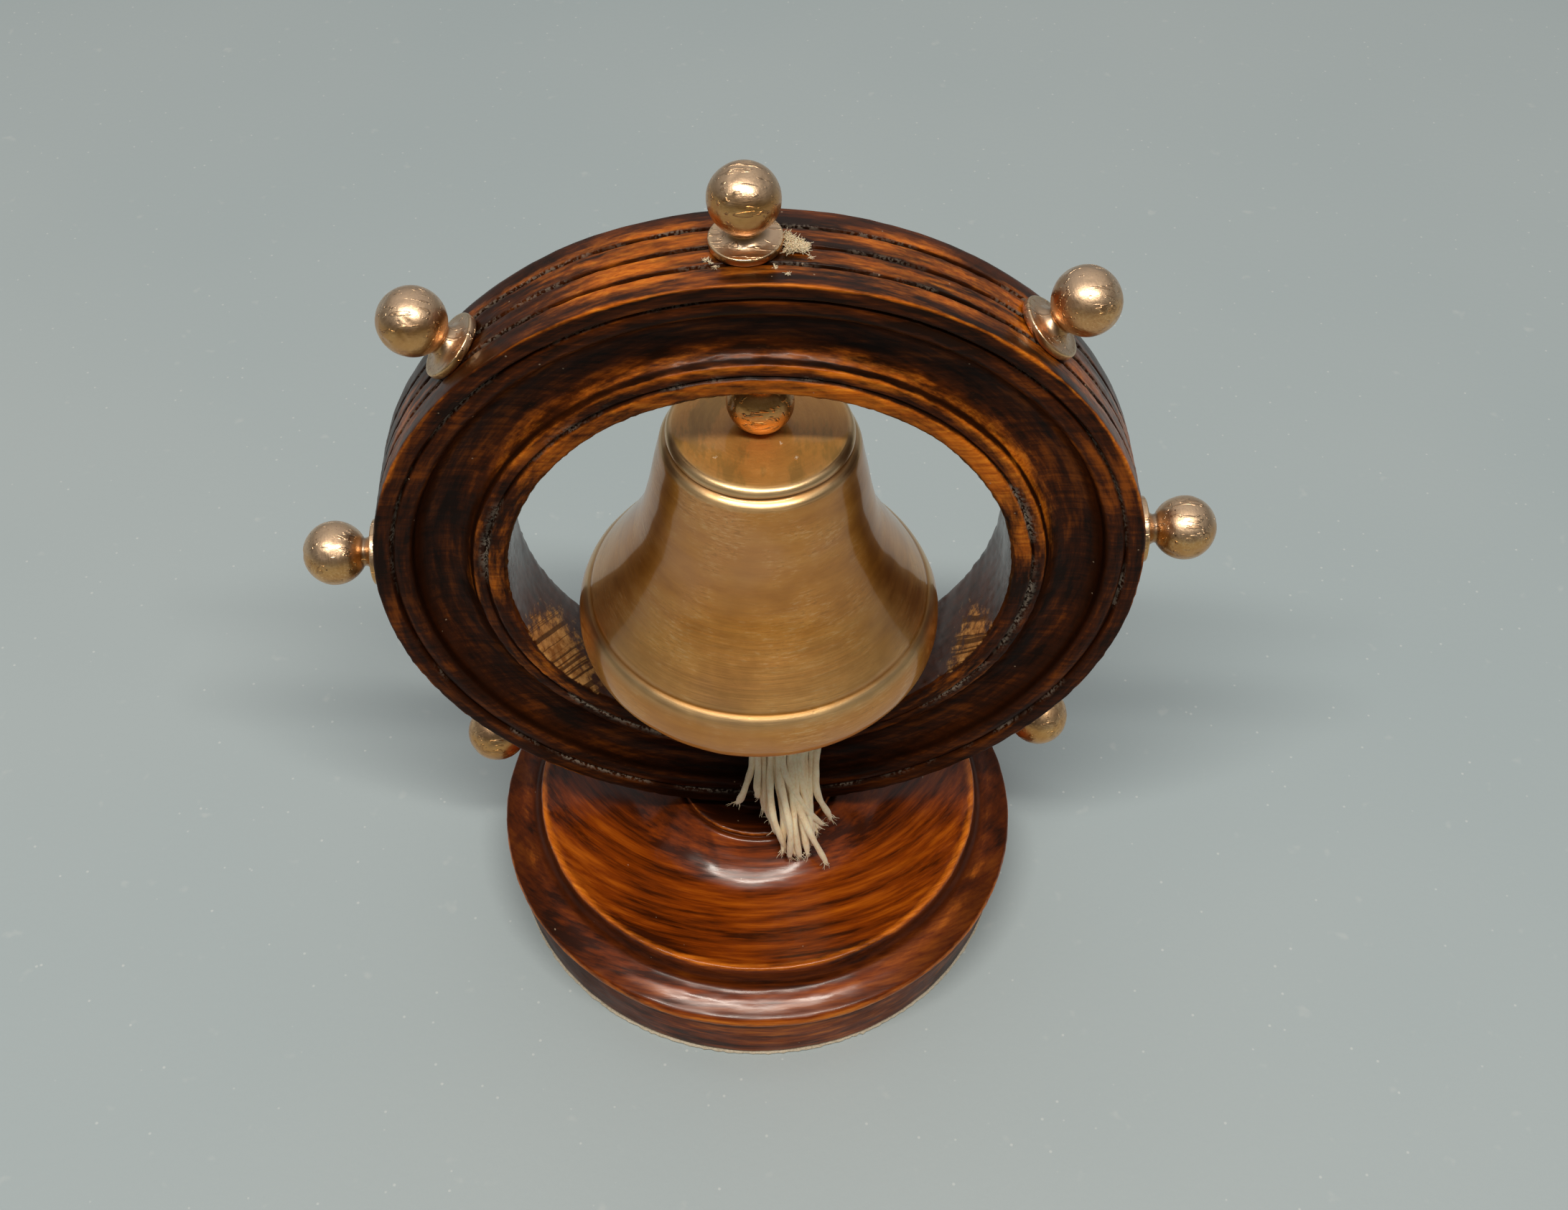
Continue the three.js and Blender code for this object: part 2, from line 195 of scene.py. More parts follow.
def lathe_faces(rows, segments, closed):
    """Quads between neighbouring copies of the profile, and triangles where it meets the axis."""
    count = len(rows)
    faces = []
    for i in range(segments):
        here, there = i * count, ((i + 1) % segments) * count
        for j in range(count if closed else count - 1):
            m = (j + 1) % count
            if rows[j, 0] < ON_AXIS:
                faces.append((here + j, there + m, here + m))
            elif rows[m, 0] < ON_AXIS:
                faces.append((here + j, there + j, here + m))
            else:
                faces.append((here + j, there + j, there + m, here + m))
    return faces


def lathe(name, rows, material, segments, closed=False, displace=None):
    """Turns rows (radius, height, wear and sheen, dirt and shade, dust) about +Z. Rows run so that material
    is on the left.
    displace(points, rows) gives an offset in mm along the profile's normal. The attribute `turn` holds the
    direction about the axis and the length along the profile."""
    rows = np.asarray(rows, float)
    if closed:
        rows = rows[:-1]
    count = len(rows)
    normal = profile_normals(rows, closed)
    step = np.linalg.norm(np.diff(rows[:, :2], axis=0), axis=1)
    length = np.concatenate([[0], np.cumsum(step)])
    angle = np.arange(segments) * 2 * math.pi / segments
    a, k = np.meshgrid(angle, np.arange(count), indexing="ij")
    a, k = a.ravel(), k.ravel()
    r, h = rows[k, 0], rows[k, 1]
    points = np.stack([r * np.cos(a), r * np.sin(a), h], 1)
    if displace is not None:
        off = displace(points, rows[k]) * (r > ON_AXIS)
        r, h = r + normal[k, 0] * off, h + normal[k, 1] * off
        points = np.stack([r * np.cos(a), r * np.sin(a), h], 1)
    turn = np.stack([np.cos(a), np.sin(a), length[k]], 1)
    faces = lathe_faces(rows, segments, closed)
    used = np.zeros(len(points), bool)
    used[np.unique(np.concatenate([np.array(f) for f in faces]))] = True
    where = np.cumsum(used) - 1
    faces = [tuple(int(where[v]) for v in f) for f in faces]
    marks = {key: rows[k, column][used] for column, key in ((2, "wear_and_sheen"), (3, "dirt"), (4, "dust"))}
    marks["turn"] = turn[used]
    made = make_mesh(name, points[used], faces, material, attributes=marks)
    weld_poles(made)
    return made


def weld_poles(obj):
    """Joins the copies of a vertex that lie on the axis."""
    bm = bmesh.new()
    bm.from_mesh(obj.data)
    poles = [v for v in bm.verts if math.hypot(v.co.x, v.co.y) < 1e-7]
    bmesh.ops.remove_doubles(bm, verts=poles, dist=1e-7)
    bm.to_mesh(obj.data)
    bm.free()


def place(obj, matrix):
    """Moves the vertices themselves, so that the object stays at the origin."""
    obj.data.transform(matrix)
    obj.data.update()
    return obj


def points_mm(obj):
    return np.array([v.co for v in obj.data.vertices]) / MM


def move_points(obj, points):
    obj.data.vertices.foreach_set("co", (points * MM).astype(np.float32).ravel())
    obj.data.update()


def read_mark(obj, name):
    values = np.zeros(len(obj.data.vertices), np.float32)
    obj.data.attributes[name].data.foreach_get("value", values)
    return values


def write_mark(obj, name, values):
    layer = obj.data.attributes.get(name) or obj.data.attributes.new(name, "FLOAT", "POINT")
    layer.data.foreach_set("value", values.astype(np.float32))


def add_darkening(obj, darkening):
    """Raises the dirt mark towards full; what it adds darkens the surface and thins its varnish."""
    dirt = read_mark(obj, "dirt")
    write_mark(obj, "dirt", dirt + (1 - dirt) * darkening)


def stand_in(obj, body, slot, *nodes):
    """A finished piece rides on its body and replaces the CAD nodes, which are hidden."""
    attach(obj, body)
    if nodes:
        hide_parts(*nodes)
    return obj


# ---- shader building
class Nodes:
    """Short way to write a node tree. All methods but node() give output sockets."""

    def __init__(self, tree):
        self.tree = tree

    def node(self, kind, inputs=None, **settings):
        """A node with its settings made and its inputs fed, by name or by number."""
        made = self.tree.nodes.new(kind)
        for key, value in settings.items():
            setattr(made, key, value)
        for key, value in (inputs or {}).items():
            self.feed(made.inputs[key], value)
        return made

    def feed(self, socket, value):
        if isinstance(value, bpy.types.NodeSocket):
            self.tree.links.new(value, socket)
        elif isinstance(value, (tuple, list)) and len(value) == 3 and socket.type == "RGBA":
            socket.default_value = (*value, 1)
        else:
            socket.default_value = value

    def position(self):
        return self.node("ShaderNodeTexCoord").outputs["Object"]

    def attribute(self, name, vector=False):
        made = self.node("ShaderNodeAttribute", attribute_name=name)
        return made.outputs["Vector" if vector else "Fac"]

    def parts(self, vector):
        """The vector's X, Y and Z sockets."""
        return self.node("ShaderNodeSeparateXYZ", {0: vector}).outputs

    def outward(self):
        """The surface's direction as X, Y and Z sockets."""
        return self.parts(self.node("ShaderNodeNewGeometry").outputs["Normal"])

    def dot(self, a, b):
        return self.node("ShaderNodeVectorMath", {0: a, 1: b}, operation="DOT_PRODUCT").outputs["Value"]

    def scaled(self, vector, scale, rotation=(0, 0, 0), location=(0, 0, 0)):
        inputs = {"Vector": vector, "Scale": scale, "Rotation": rotation, "Location": location}
        return self.node("ShaderNodeMapping", inputs).outputs[0]

    def curved(self, vector, share):
        """Bends straight grain towards circles about Z by the given share."""
        x, y, z = self.parts(vector)
        radius = self.math("SQRT", self.plus(self.times(x, x), self.times(y, y)))
        bent = self.minus(self.times(y, 1 - share), self.times(radius, share))
        return self.node("ShaderNodeCombineXYZ", {0: x, 1: bent, 2: z}).outputs[0]

    def noise(self, vector, scale, detail=4, roughness=0.55, **placed):
        """Noise from 0 to 1. scale is the number of features per unit, one for all axes or one for each."""
        vector = self.scaled(vector, scale if isinstance(scale, tuple) else (scale, scale, scale), **placed)
        inputs = {"Vector": vector, "Scale": 1.0, "Detail": detail, "Roughness": roughness}
        return self.node("ShaderNodeTexNoise", inputs).outputs["Fac"]

    def layers(self, vector, normal, per_metre, wander):
        """Irregular growth layers: one-dimensional noise along `normal`, pushed about by `wander`."""
        depth = self.dot(vector, Vector(normal).normalized() * per_metre)
        inputs = {"W": self.plus(depth, wander), "Scale": 1.0, "Detail": 3, "Roughness": 0.6}
        return self.node("ShaderNodeTexNoise", inputs, noise_dimensions="1D").outputs["Fac"]

    def cells(self, vector, scale):
        """Distance to the nearest of a scatter of points."""
        return self.node("ShaderNodeTexVoronoi", {"Vector": vector, "Scale": scale}).outputs["Distance"]

    def math(self, operation, a, b=0.0):
        return self.node("ShaderNodeMath", {0: a, 1: b}, operation=operation).outputs[0]

    def times(self, a, b):
        return self.math("MULTIPLY", a, b)

    def plus(self, a, b):
        return self.math("ADD", a, b)

    def minus(self, a, b):
        return self.math("SUBTRACT", a, b)

    def blend(self, *shares):
        """Adds up values, each given as (value, share)."""
        total = self.times(*shares[0])
        for share in shares[1:]:
            total = self.plus(total, self.times(*share))
        return total

    def range(self, value, low, high, to_low=0.0, to_high=1.0):
        inputs = {0: value, 1: low, 2: high, 3: to_low, 4: to_high}
        return self.node("ShaderNodeMapRange", inputs, interpolation_type="SMOOTHSTEP").outputs[0]

    def mix(self, factor, a, b):
        return self.node("ShaderNodeMix", {0: factor, 6: a, 7: b}, data_type="RGBA").outputs[2]

    def ramp(self, value, places, colours):
        made = self.node("ShaderNodeValToRGB", {0: value})
        elements = made.color_ramp.elements
        while len(elements) < len(places):
            elements.new(0.5)
        for element, at, colour in zip(elements, places, colours):
            element.position = at
            element.color = (*colour, 1)
        return made.outputs[0]

    def bump(self, height, distance, strength=1.0, below=None):
        inputs = {"Strength": strength, "Distance": distance, "Height": height}
        if below is not None:
            inputs["Normal"] = below
        return self.node("ShaderNodeBump", inputs).outputs[0]


class Graph(Nodes):
    """A material that is one principled surface."""

    def __init__(self, name):
        self.material = bpy.data.materials.new(name)
        self.material.use_nodes = True
        super().__init__(self.material.node_tree)
        self.tree.nodes.clear()
        self.shader = self.node("ShaderNodeBsdfPrincipled")
        self.node("ShaderNodeOutputMaterial", {0: self.shader.outputs[0]})

    def set(self, **inputs):
        for key, value in inputs.items():
            self.feed(self.shader.inputs[key.replace("_", " ")], value)


# ---- materials
LAYERS_PER_METRE = 620
TORN_LAYERS_PER_METRE = 640
TORN_LAYER_NORMAL = (0.434, -0.607, -0.665)
AVERAGE_TONE = 0.51
BASE_GRAIN_CURVE = 0.55         # share by which the base's grain follows its rim

BASE_STAIN = ((0.05, 0.009, 0.001), (0.23, 0.039, 0.0018), (0.5, 0.115, 0.005))
RING_STAIN = ((0.016, 0.0048, 0.0013), (0.072, 0.0155, 0.0022), (0.3, 0.07, 0.005))
RAY_FLECK = (0.3, 0.1, 0.02)
WOOD_GRIME_AND_SHADE = (0.0065, 0.0026, 0.001)
WORN_AMBER_AND_SHEEN = ((0.34, 0.07, 0.005), (0.6, 0.148, 0.009), (0.82, 0.26, 0.021))
TORN_SHADE = (0.06, 0.026, 0.009)
TORN_BARE = ((0.26, 0.1, 0.022), (0.6, 0.31, 0.1))
DUST = (0.46, 0.38, 0.3)
STRAY_SPECK = (0.42, 0.3, 0.2)


class BeechGrain:
    """Noises that the parts of the stained wood share. Fibres run along X, and growth layers lie square to
    layer_normal. In the ring the broad streaks follow the turning."""

    def __init__(self, g, layer_normal, ring):
        turn = g.attribute("turn", vector=True)
        self.at = g.position() if ring else g.curved(g.position(), BASE_GRAIN_CURVE)
        wander = g.times(g.noise(self.at, (10, 28, 28), 2), 6)
        self.layers = g.layers(self.at, layer_normal, LAYERS_PER_METRE, wander)
        self.fibres = g.noise(self.at, (80, 1300, 1300), 5, 0.65)
        if ring:
            self.streaks = g.noise(turn, (5, 5, 0.5), 4, 0.6)
        else:
            self.streaks = g.noise(self.at, (34, 340, 340), 4, 0.6)
        self.patches = g.noise(self.at, (17, 42, 42), 3, 0.5)
        self.scuffs = g.noise(turn, (9, 9, 0.7), 4, 0.65)


def wood_stain(g, grain, stain, ring):
    """Stain that has taken unevenly, least so on end grain, with ray flecks."""
    fibres, streaks = (0.16, 0.5) if ring else (0.26, 0.4)
    tone = g.blend(
        (grain.layers, 0.1), (grain.fibres, fibres), (grain.streaks, streaks), (grain.patches, 0.3),
    )
    contrast = g.range(g.math("ABSOLUTE", g.outward()["X"]), 0.25, 0.75, 1.0, 0.35)
    tone = g.plus(g.times(g.minus(tone, AVERAGE_TONE), contrast), AVERAGE_TONE)
    body = g.ramp(tone, (0.46, 0.55, 0.67), stain)
    late_wood = g.range(grain.layers, 0.46, 0.34)
    body = g.mix(g.times(late_wood, 0.16), body, stain[0])
    flecks = g.range(g.cells(g.scaled(grain.at, (330, 2100, 2100)), 1.0), 0.17, 0.07)
    flecks = g.times(flecks, g.range(grain.patches, 0.4, 0.6))
    return g.mix(g.times(flecks, 0.3), body, RAY_FLECK)


def worn_and_sheened_edges(g, grain, body, wear_and_sheen):
    """Orange wood where handling has taken the stain off the edges; on the ring's top rim the same orange
    also paints the lamp's sheen.
    """
    loss = g.minus(g.blend((grain.scuffs, 0.5), (grain.patches, 0.5), (grain.streaks, 0.5)), 0.75)
    worn = g.range(g.plus(wear_and_sheen, g.times(loss, 1.9)), 0.35, 1.15)
    worn = g.times(worn, g.range(wear_and_sheen, 0.0, 0.12))
    return g.mix(worn, body, g.ramp(grain.fibres, (0.3, 0.5, 0.7), WORN_AMBER_AND_SHEEN))


def torn_wood(g, grain, body):
    """Bare wood torn up in rungs where the bore is rough: the colour, how torn it is and how bare."""
    rungs = g.layers(grain.at, TORN_LAYER_NORMAL, TORN_LAYERS_PER_METRE, g.times(grain.patches, 1.5))
    chips = g.noise(grain.at, 420, 4, 0.7)
    ragged = g.times(g.minus(chips, 0.5), 1.1)
    torn = g.range(g.plus(g.attribute("rough"), ragged), 0.38, 0.72)
    bare = g.times(g.range(rungs, 0.42, 0.5, 0.15, 1.0), torn)
    body = g.mix(g.times(torn, 0.7), body, TORN_SHADE)
    body = g.mix(g.times(bare, 0.9), body, g.ramp(chips, (0.38, 0.64), TORN_BARE))
    return body, torn, bare


def dusted(g, at, body, dust):
    """Pale dust in clumps where it is marked, and stray specks: the colour and the dust's cover."""
    grains = g.range(g.noise(at, 1500, 2), 0.42, 0.58)
    clumps = g.range(g.noise(at, 55, 3), 0.45, 0.6)
    cover = g.times(dust, g.times(grains, clumps))
    body = g.mix(cover, body, DUST)
    specks = g.range(g.cells(at, 190), 0.045, 0.02)
    return g.mix(g.times(specks, 0.7), body, STRAY_SPECK), cover


def varnish_cover(g, gloss, dirt):
    """Varnish is whole on surfaces that face up, and thin on upright ones and where the dirt mark is high.
    """
    cover = g.range(g.outward()["Z"], 0.1, 0.7, 0.12, gloss)
    return g.times(cover, g.range(dirt, 1.0, 0.0, 0.1, 1.0))


def ring_varnish(g, cover, torn):
    """The ring's faces are duller than its rim, its smooth bore is glossy, and torn wood has no varnish."""
    cover = g.times(cover, g.range(g.math("ABSOLUTE", g.outward()["Y"]), 0.1, 0.5, 1.0, 0.2))
    cover = g.plus(cover, g.times(g.attribute("polish"), 0.7))
    return g.times(cover, g.range(torn, 1.0, 0.0, 0.1, 1.0))


def stained_beech(name, layer_normal, stain, gloss, ring=False):
    """Dark stained beech. stain is the dark, middle and light colour; gloss is the varnish left on surfaces
    that face up. The ring also has a rough bore."""
    g = Graph(name)
    grain = BeechGrain(g, layer_normal, ring)
    at = grain.at
    dirt = g.attribute("dirt")
    body = wood_stain(g, grain, stain, ring)
    # Grime darkens the wood here, and so does the shade painted into the base's cove and under the ring.
    body = g.mix(g.times(dirt, 0.86), body, WOOD_GRIME_AND_SHADE)
    body = worn_and_sheened_edges(g, grain, body, g.attribute("wear_and_sheen"))
    roughness = g.range(g.noise(at, 120), 0.35, 0.7, 0.3, 0.46)
    relief = g.plus(grain.fibres, g.times(grain.layers, 0.3))
    varnish = varnish_cover(g, gloss, dirt)
    if ring:
        body, torn, bare = torn_wood(g, grain, body)
        roughness = g.plus(roughness, g.times(g.attribute("rough"), 0.4))
        relief = g.plus(relief, g.times(bare, 3.0))
        varnish = ring_varnish(g, varnish, torn)
    body, dust = dusted(g, at, body, g.attribute("dust"))
    fine = g.bump(relief, 0.00006, 0.5)
    swell = g.bump(g.noise(at, (70, 160, 160), 3), 0.00018, 0.4, fine)
    skin = g.bump(g.noise(at, (240, 900, 900), 3), 0.00004, 0.35)
    coat_roughness = g.range(g.noise(at, (90, 600, 600), 3), 0.4, 0.65, 0.15, 0.25)
    g.set(Base_Color=body, Roughness=g.plus(roughness, g.times(dust, 0.4)), Normal=swell)
    g.set(Specular_IOR_Level=0.06, Coat_Weight=varnish, Coat_Roughness=coat_roughness)
    g.set(Coat_IOR=1.5, Coat_Normal=skin)
    return g.material


GOLDEN = ((0.58, 0.22, 0.032), (0.73, 0.31, 0.052), (0.82, 0.395, 0.085))
PALE = ((0.52, 0.23, 0.055), (0.65, 0.325, 0.095), (0.77, 0.43, 0.15))
COPPERY_BLUSH = (0.7, 0.34, 0.15)
PAINTED_CEILING_SHEEN = (0.92, 0.68, 0.47)
PAINTED_STROKE_GLINT = (0.95, 0.66, 0.32)
DARK_STROKE = (0.3, 0.12, 0.03)
TARNISH_SPOT = (0.14, 0.06, 0.02)
SCORED_BRASS = (0.34, 0.16, 0.05)
BRASS_GRIME = (0.11, 0.045, 0.012)
WORN_BRASS_AND_SHEEN = (1.0, 0.76, 0.42)
PAINTED_LIT_CROWN = (0.95, 0.56, 0.17)
CROWN_SMEAR = (0.42, 0.27, 0.08)


class BrassMarks:
    """Noises that the brass's colour and relief share: lines and strokes round the turning axis, and clouds.
    The `turn` attribute's length is in millimetres, so these scales are per millimetre along the profile."""

    def __init__(self, g):
        self.at = g.position()
        turn = g.attribute("turn", vector=True)
        self.lines = g.noise(turn, (2.6, 2.6, 5.2), 4, 0.6)
        self.broad = g.noise(turn, (1.8, 1.8, 0.42), 4, 0.6)
        self.strokes = g.noise(turn, (11, 11, 2.2), 3, 0.7)
        self.cloud = g.noise(self.at, 70, 5, 0.6)
        self.blush = g.noise(self.at, 38, 3, 0.5, location=(0.3, 0.1, 0.2))
        scored = g.noise(self.at, (150, 1100, 800), 2, 0.5, rotation=(0.6, 0.9, 0.4))
        self.scores = g.range(scored, 0.57, 0.65)


def brass_colour(g, marks, tints, brush, dents, painted_sheen):
    """Mottled brass with strokes and small spots. The last argument is how strongly a pale sheen is painted
    on the upper side, as the bright ceiling's reflection.
    """
    metal = g.ramp(g.blend((marks.cloud, 0.55), (marks.broad, 0.45)), (0.34, 0.5, 0.66), tints)
    metal = g.mix(g.range(marks.blush, 0.5, 0.68, 0.0, 0.4), metal, COPPERY_BLUSH)
    if painted_sheen:
        # Painted reflection: the upper side is mixed towards a pale pinkish brass, standing in for the
        # bright ceiling's reflection.
        lit_side = g.plus(g.outward()["Z"], g.times(g.minus(marks.cloud, 0.5), 0.6))
        metal = g.mix(g.range(lit_side, 0.3, 0.72, 0.0, painted_sheen), metal, PAINTED_CEILING_SHEEN)
    # Brush strokes: the marks are real, but their lighter and darker colour is painted glint and painted
    # shade along them.
    patchy = g.range(marks.cloud, 0.42, 0.62)
    bright = g.times(g.range(marks.strokes, 0.52, 0.66), patchy)
    metal = g.mix(g.times(bright, 0.45 * brush), metal, PAINTED_STROKE_GLINT)
    dark = g.times(g.range(marks.strokes, 0.46, 0.36), patchy)
    metal = g.mix(g.times(dark, 0.35 * brush), metal, DARK_STROKE)
    spots = g.times(g.range(g.cells(marks.at, 420), 0.12, 0.05), g.range(marks.cloud, 0.45, 0.6))
    return g.mix(g.times(spots, 0.7 * dents), metal, TARNISH_SPOT)


def brass_relief(g, marks, brush, dents, spun):
    """Fine lines, shallow dents, pits and grain; handled pieces are also scored."""
    brushed = g.bump(g.plus(marks.lines, marks.strokes), 0.00002, 0.5 * brush)
    dented = g.bump(g.noise(marks.at, 190, 3), 0.0002, 0.2 * dents, brushed)
    pitted = g.bump(g.range(g.cells(marks.at, 330), 0.03, 0.13), 0.00008, 0.4 * dents, dented)
    if not spun:
        pitted = g.bump(marks.scores, 0.00014, 0.8 * dents, pitted)
    return g.bump(g.noise(marks.at, 1700, 2, 0.6), 0.00005, 0.6 * dents, pitted)


def satin_brass(name, tints, brush=1.0, dents=1.0, tarnish=0.5, lacquer=0.3, lacquer_roughness=0.1,
                roughness=(0.3, 0.46), painted_sheen=0.0, spun=False):
    """Brass under old lacquer. tints is the dark, middle and light colour; brush, dents, tarnish, lacquer
    and the pale sheen painted on the upper side are strengths. A spun piece is a large smooth one whose
    reflections stretch across its fine lines, with a duller, smeared flat crown painted a lighter gold, as
    though lit."""
    g = Graph(name)
    marks = BrassMarks(g)
    wear_and_sheen = g.attribute("wear_and_sheen")
    metal = brass_colour(g, marks, tints, brush, dents, painted_sheen)
    metal = g.mix(g.times(g.attribute("dirt"), 0.25 + tarnish), metal, BRASS_GRIME)
    # Paler brass where worn; on the bell's low waist this paler brass is a painted highlight.
    metal = g.mix(g.times(wear_and_sheen, 0.75), metal, WORN_BRASS_AND_SHEEN)
    rough = g.range(g.blend((marks.cloud, 0.5), (marks.lines, 0.5)), 0.35, 0.65, *roughness)
    rough = g.minus(rough, g.times(wear_and_sheen, 0.16))
    if spun:
        upward = g.outward()["Z"]
        flat = g.range(upward, 0.95, 0.99)
        rough = g.plus(rough, g.times(flat, 0.14))
        # Painted light: the flat crown is mixed towards a lighter gold so that it looks lit.
        metal = g.mix(g.times(flat, 0.5), metal, PAINTED_LIT_CROWN)
        smears = g.range(g.noise(marks.at, (230, 70, 70), 4, 0.65), 0.48, 0.62)
        metal = g.mix(g.times(g.times(smears, flat), 0.5), metal, CROWN_SMEAR)
        around = g.node("ShaderNodeTangent", direction_type="RADIAL", axis="Z")
        stretched = g.range(upward, 0.95, 0.7, 0.0, 0.4)
        g.set(Anisotropic=stretched, Anisotropic_Rotation=0.25, Tangent=around.outputs[0])
    else:
        metal = g.mix(g.times(marks.scores, 0.3 * dents), metal, SCORED_BRASS)
    film = g.bump(g.noise(marks.at, 190, 3), 0.0002, 0.12 * dents)
    g.set(Base_Color=metal, Metallic=1.0, Roughness=rough, Normal=brass_relief(g, marks, brush, dents, spun))
    g.set(Coat_Weight=lacquer, Coat_Roughness=lacquer_roughness, Coat_IOR=1.5, Coat_Normal=film)
    return g.material


def plain_metal(name, colour, dark, roughness):
    """Machined hardware that shows only from beneath."""
    g = Graph(name)
    cloud = g.noise(g.position(), (240, 240, 900), 4, 0.6)
    g.set(Base_Color=g.mix(g.range(cloud, 0.35, 0.7), dark, colour), Metallic=1.0)
    g.set(Roughness=g.range(cloud, 0.3, 0.7, roughness, roughness + 0.15))
    g.set(Normal=g.bump(cloud, 0.00004, 0.5))
    return g.material


COTTON_TINTS = ((0.88, 0.64, 0.38), (1.0, 0.82, 0.55), (1.0, 0.91, 0.68))


def cotton(name):
    g = Graph(name)
    at = g.position()
    mottled = g.noise(at, 300, 5, 0.65)
    fine = g.noise(at, (2600, 2600, 1100), 3, 0.6)
    tone = g.blend((mottled, 0.6), (fine, 0.4))
    g.set(Base_Color=g.ramp(tone, (0.35, 0.5, 0.66), COTTON_TINTS))
    g.set(Roughness=0.95, Specular_IOR_Level=0.2, Sheen_Weight=0.35, Sheen_Roughness=0.5)
    g.set(Subsurface_Weight=0.12, Subsurface_Scale=0.0008, Normal=g.bump(fine, 0.00012, 0.7))
    return g.material


FELT_TINTS = ((0.42, 0.35, 0.25), (0.66, 0.58, 0.45), (0.78, 0.71, 0.58))


def felt_cloth(name):
    g = Graph(name)
    at = g.position()
    fibres = g.noise(at, 1900, 5, 0.7)
    patches = g.noise(at, 60, 3)
    tone = g.blend((fibres, 0.7), (patches, 0.3))
    g.set(Base_Color=g.ramp(tone, (0.35, 0.55, 0.7), FELT_TINTS))
    g.set(Roughness=1.0, Specular_IOR_Level=0.1, Sheen_Weight=0.3, Normal=g.bump(fibres, 0.0003, 0.8))
    return g.material


FLOOR_TINTS = ((0.392, 0.468, 0.499), (0.43, 0.497, 0.523))
FLOOR_PIT = (0.6, 0.64, 0.64)
FLOOR_SPECK = (0.68, 0.72, 0.72)


def floor_paint():
    g = Graph("floor")
    at = g.position()
    body = g.ramp(g.noise(at, 3, 3), (0.35, 0.65), FLOOR_TINTS)
    pits = g.range(g.noise(at, 160, 2), 0.66, 0.8)
    body = g.mix(g.times(pits, 0.3), body, FLOOR_PIT)
    specks = g.range(g.cells(at, 190), 0.08, 0.04)
    body = g.mix(g.times(specks, 0.5), body, FLOOR_SPECK)
    g.set(Base_Color=body, Roughness=0.62, Specular_IOR_Level=0.3)
    g.set(Normal=g.bump(g.noise(at, 500, 4, 0.6), 0.0002, 0.35))
    return g.material


# ---- turned wood
DISH = [
    (46.8, 24.75), (42.5, 23.6), (37, 22.8), (32.5, 22.5), (30, 22.52), (28.2, 22.8), (26.7, 23.35),
    (25.4, 23.98), (24.1, 24.68), (22.8, 25.5), (21, 26.85), (18.9, 28.7),
]


def base_rows():
    """Side, rolled rim, hollow, cove, ridge, and the dish that sweeps up to the collar and stem."""
    z0 = FELT_TOP_Z
    keys = [
        (0, z0), (30, z0), (54.6, z0), (55.5, z0 + 0.15, 0.3), (55.9, z0 + 0.8, 0.15),
        (56.2, 4, 0.4), (56.75, 9, 0.45), (57.1, 13.6, 0.4), (57.15, 14.6, 0, 0.9),
        (57.5, 15.1, 0.1, 0.8),
        (57.95, 15.7, 0.5, 0.3), (58.2, 16.5, 0.95), (58.2, 17.4, 0.9), (57.95, 18.05, 0.3),
        (57.5, 18.35, 0, 0.35), (57.0, 18.57, 0, 0.4), (56.3, 18.84, 0, 0.4), (55.6, 19.13, 0, 0.3),
        (54.9, 19.45, 0, 0.15),
        (54.3, 19.75, 0.2), (53.7, 20.0, 0.3), (53.1, 20.2, 0.35), (52.5, 20.4, 0.2, 0.2),
        # The cove's dirt of 0.7 to 0.8 is partly grime and partly painted shade under the ridge.
        (51.5, 20.85, 0, 0.7), (50.7, 21.7, 0, 0.8), (50.15, 22.8, 0, 0.8), (49.85, 24.1, 0, 0.7),
        (49.65, 24.9, 0.5, 0.1), (49.35, 25.4, 1.0), (48.8, 25.5, 0.9), (48.2, 25.35, 0.6),
        (47.4, 25.0, 0.2),
        *spline_rows(DISH, 33),
        (18.2, 28.95, 0.1, 0.8), (17.65, 28.9, 0.2, 0.5), (17.75, 29.3, 0.6),
        # On the collar's top and the stem, the dirt of 0.85 to 1 is painted shade under the ring.
        (17.6, 29.85, 0.95), (17.1, 30.08, 0.3, 0.4), (15, 30.1, 0, 0.85), (11, 30.15, 0, 1),
        (STEM_R, 30.4, 0, 1), (STEM_R, STEM_BLANK_Z - SEAT_GAP, 0, 0.9), (STEM_R, STEM_BLANK_Z, 0, 0.9),
        (0, STEM_BLANK_Z, 0, 0.9),
    ]
    return subdivided(softened(keys), 1.2)


def build_base():
    wood = stained_beech("stained_beech_base", (0.05, -0.5, 0.86), BASE_STAIN, gloss=0.68)
    wobble = Noise(3, 30)
    ripple = Noise(4, 7)

    def displace(points, rows):
        wear_and_sheen = rows[:, 2]
        return 0.05 * wobble(points) + 0.02 * ripple(points) + 0.04 * wear_and_sheen * ripple(points * 4)

    made = lathe("turned_base_fine", base_rows(), wood, 300, displace=displace)
    darken_rim_sides(made)
    cope_stem(made)
    return stand_in(made, STAND, "stained_beech", "turned_base")


def darken_rim_sides(obj):
    """Darkens the rim to the left and the right, and thins its varnish there."""
    co = points_mm(obj)
    on_rim = np.clip((np.hypot(co[:, 0], co[:, 1]) - 50.5) / 2, 0, 1)
    side = np.clip((np.abs(co[:, 0] + 4) - 20) / 26, 0, 1)
    add_darkening(obj, np.clip(on_rim * (0.72 * side + 0.1 * Noise(15, 22)(co)), 0, 0.85))


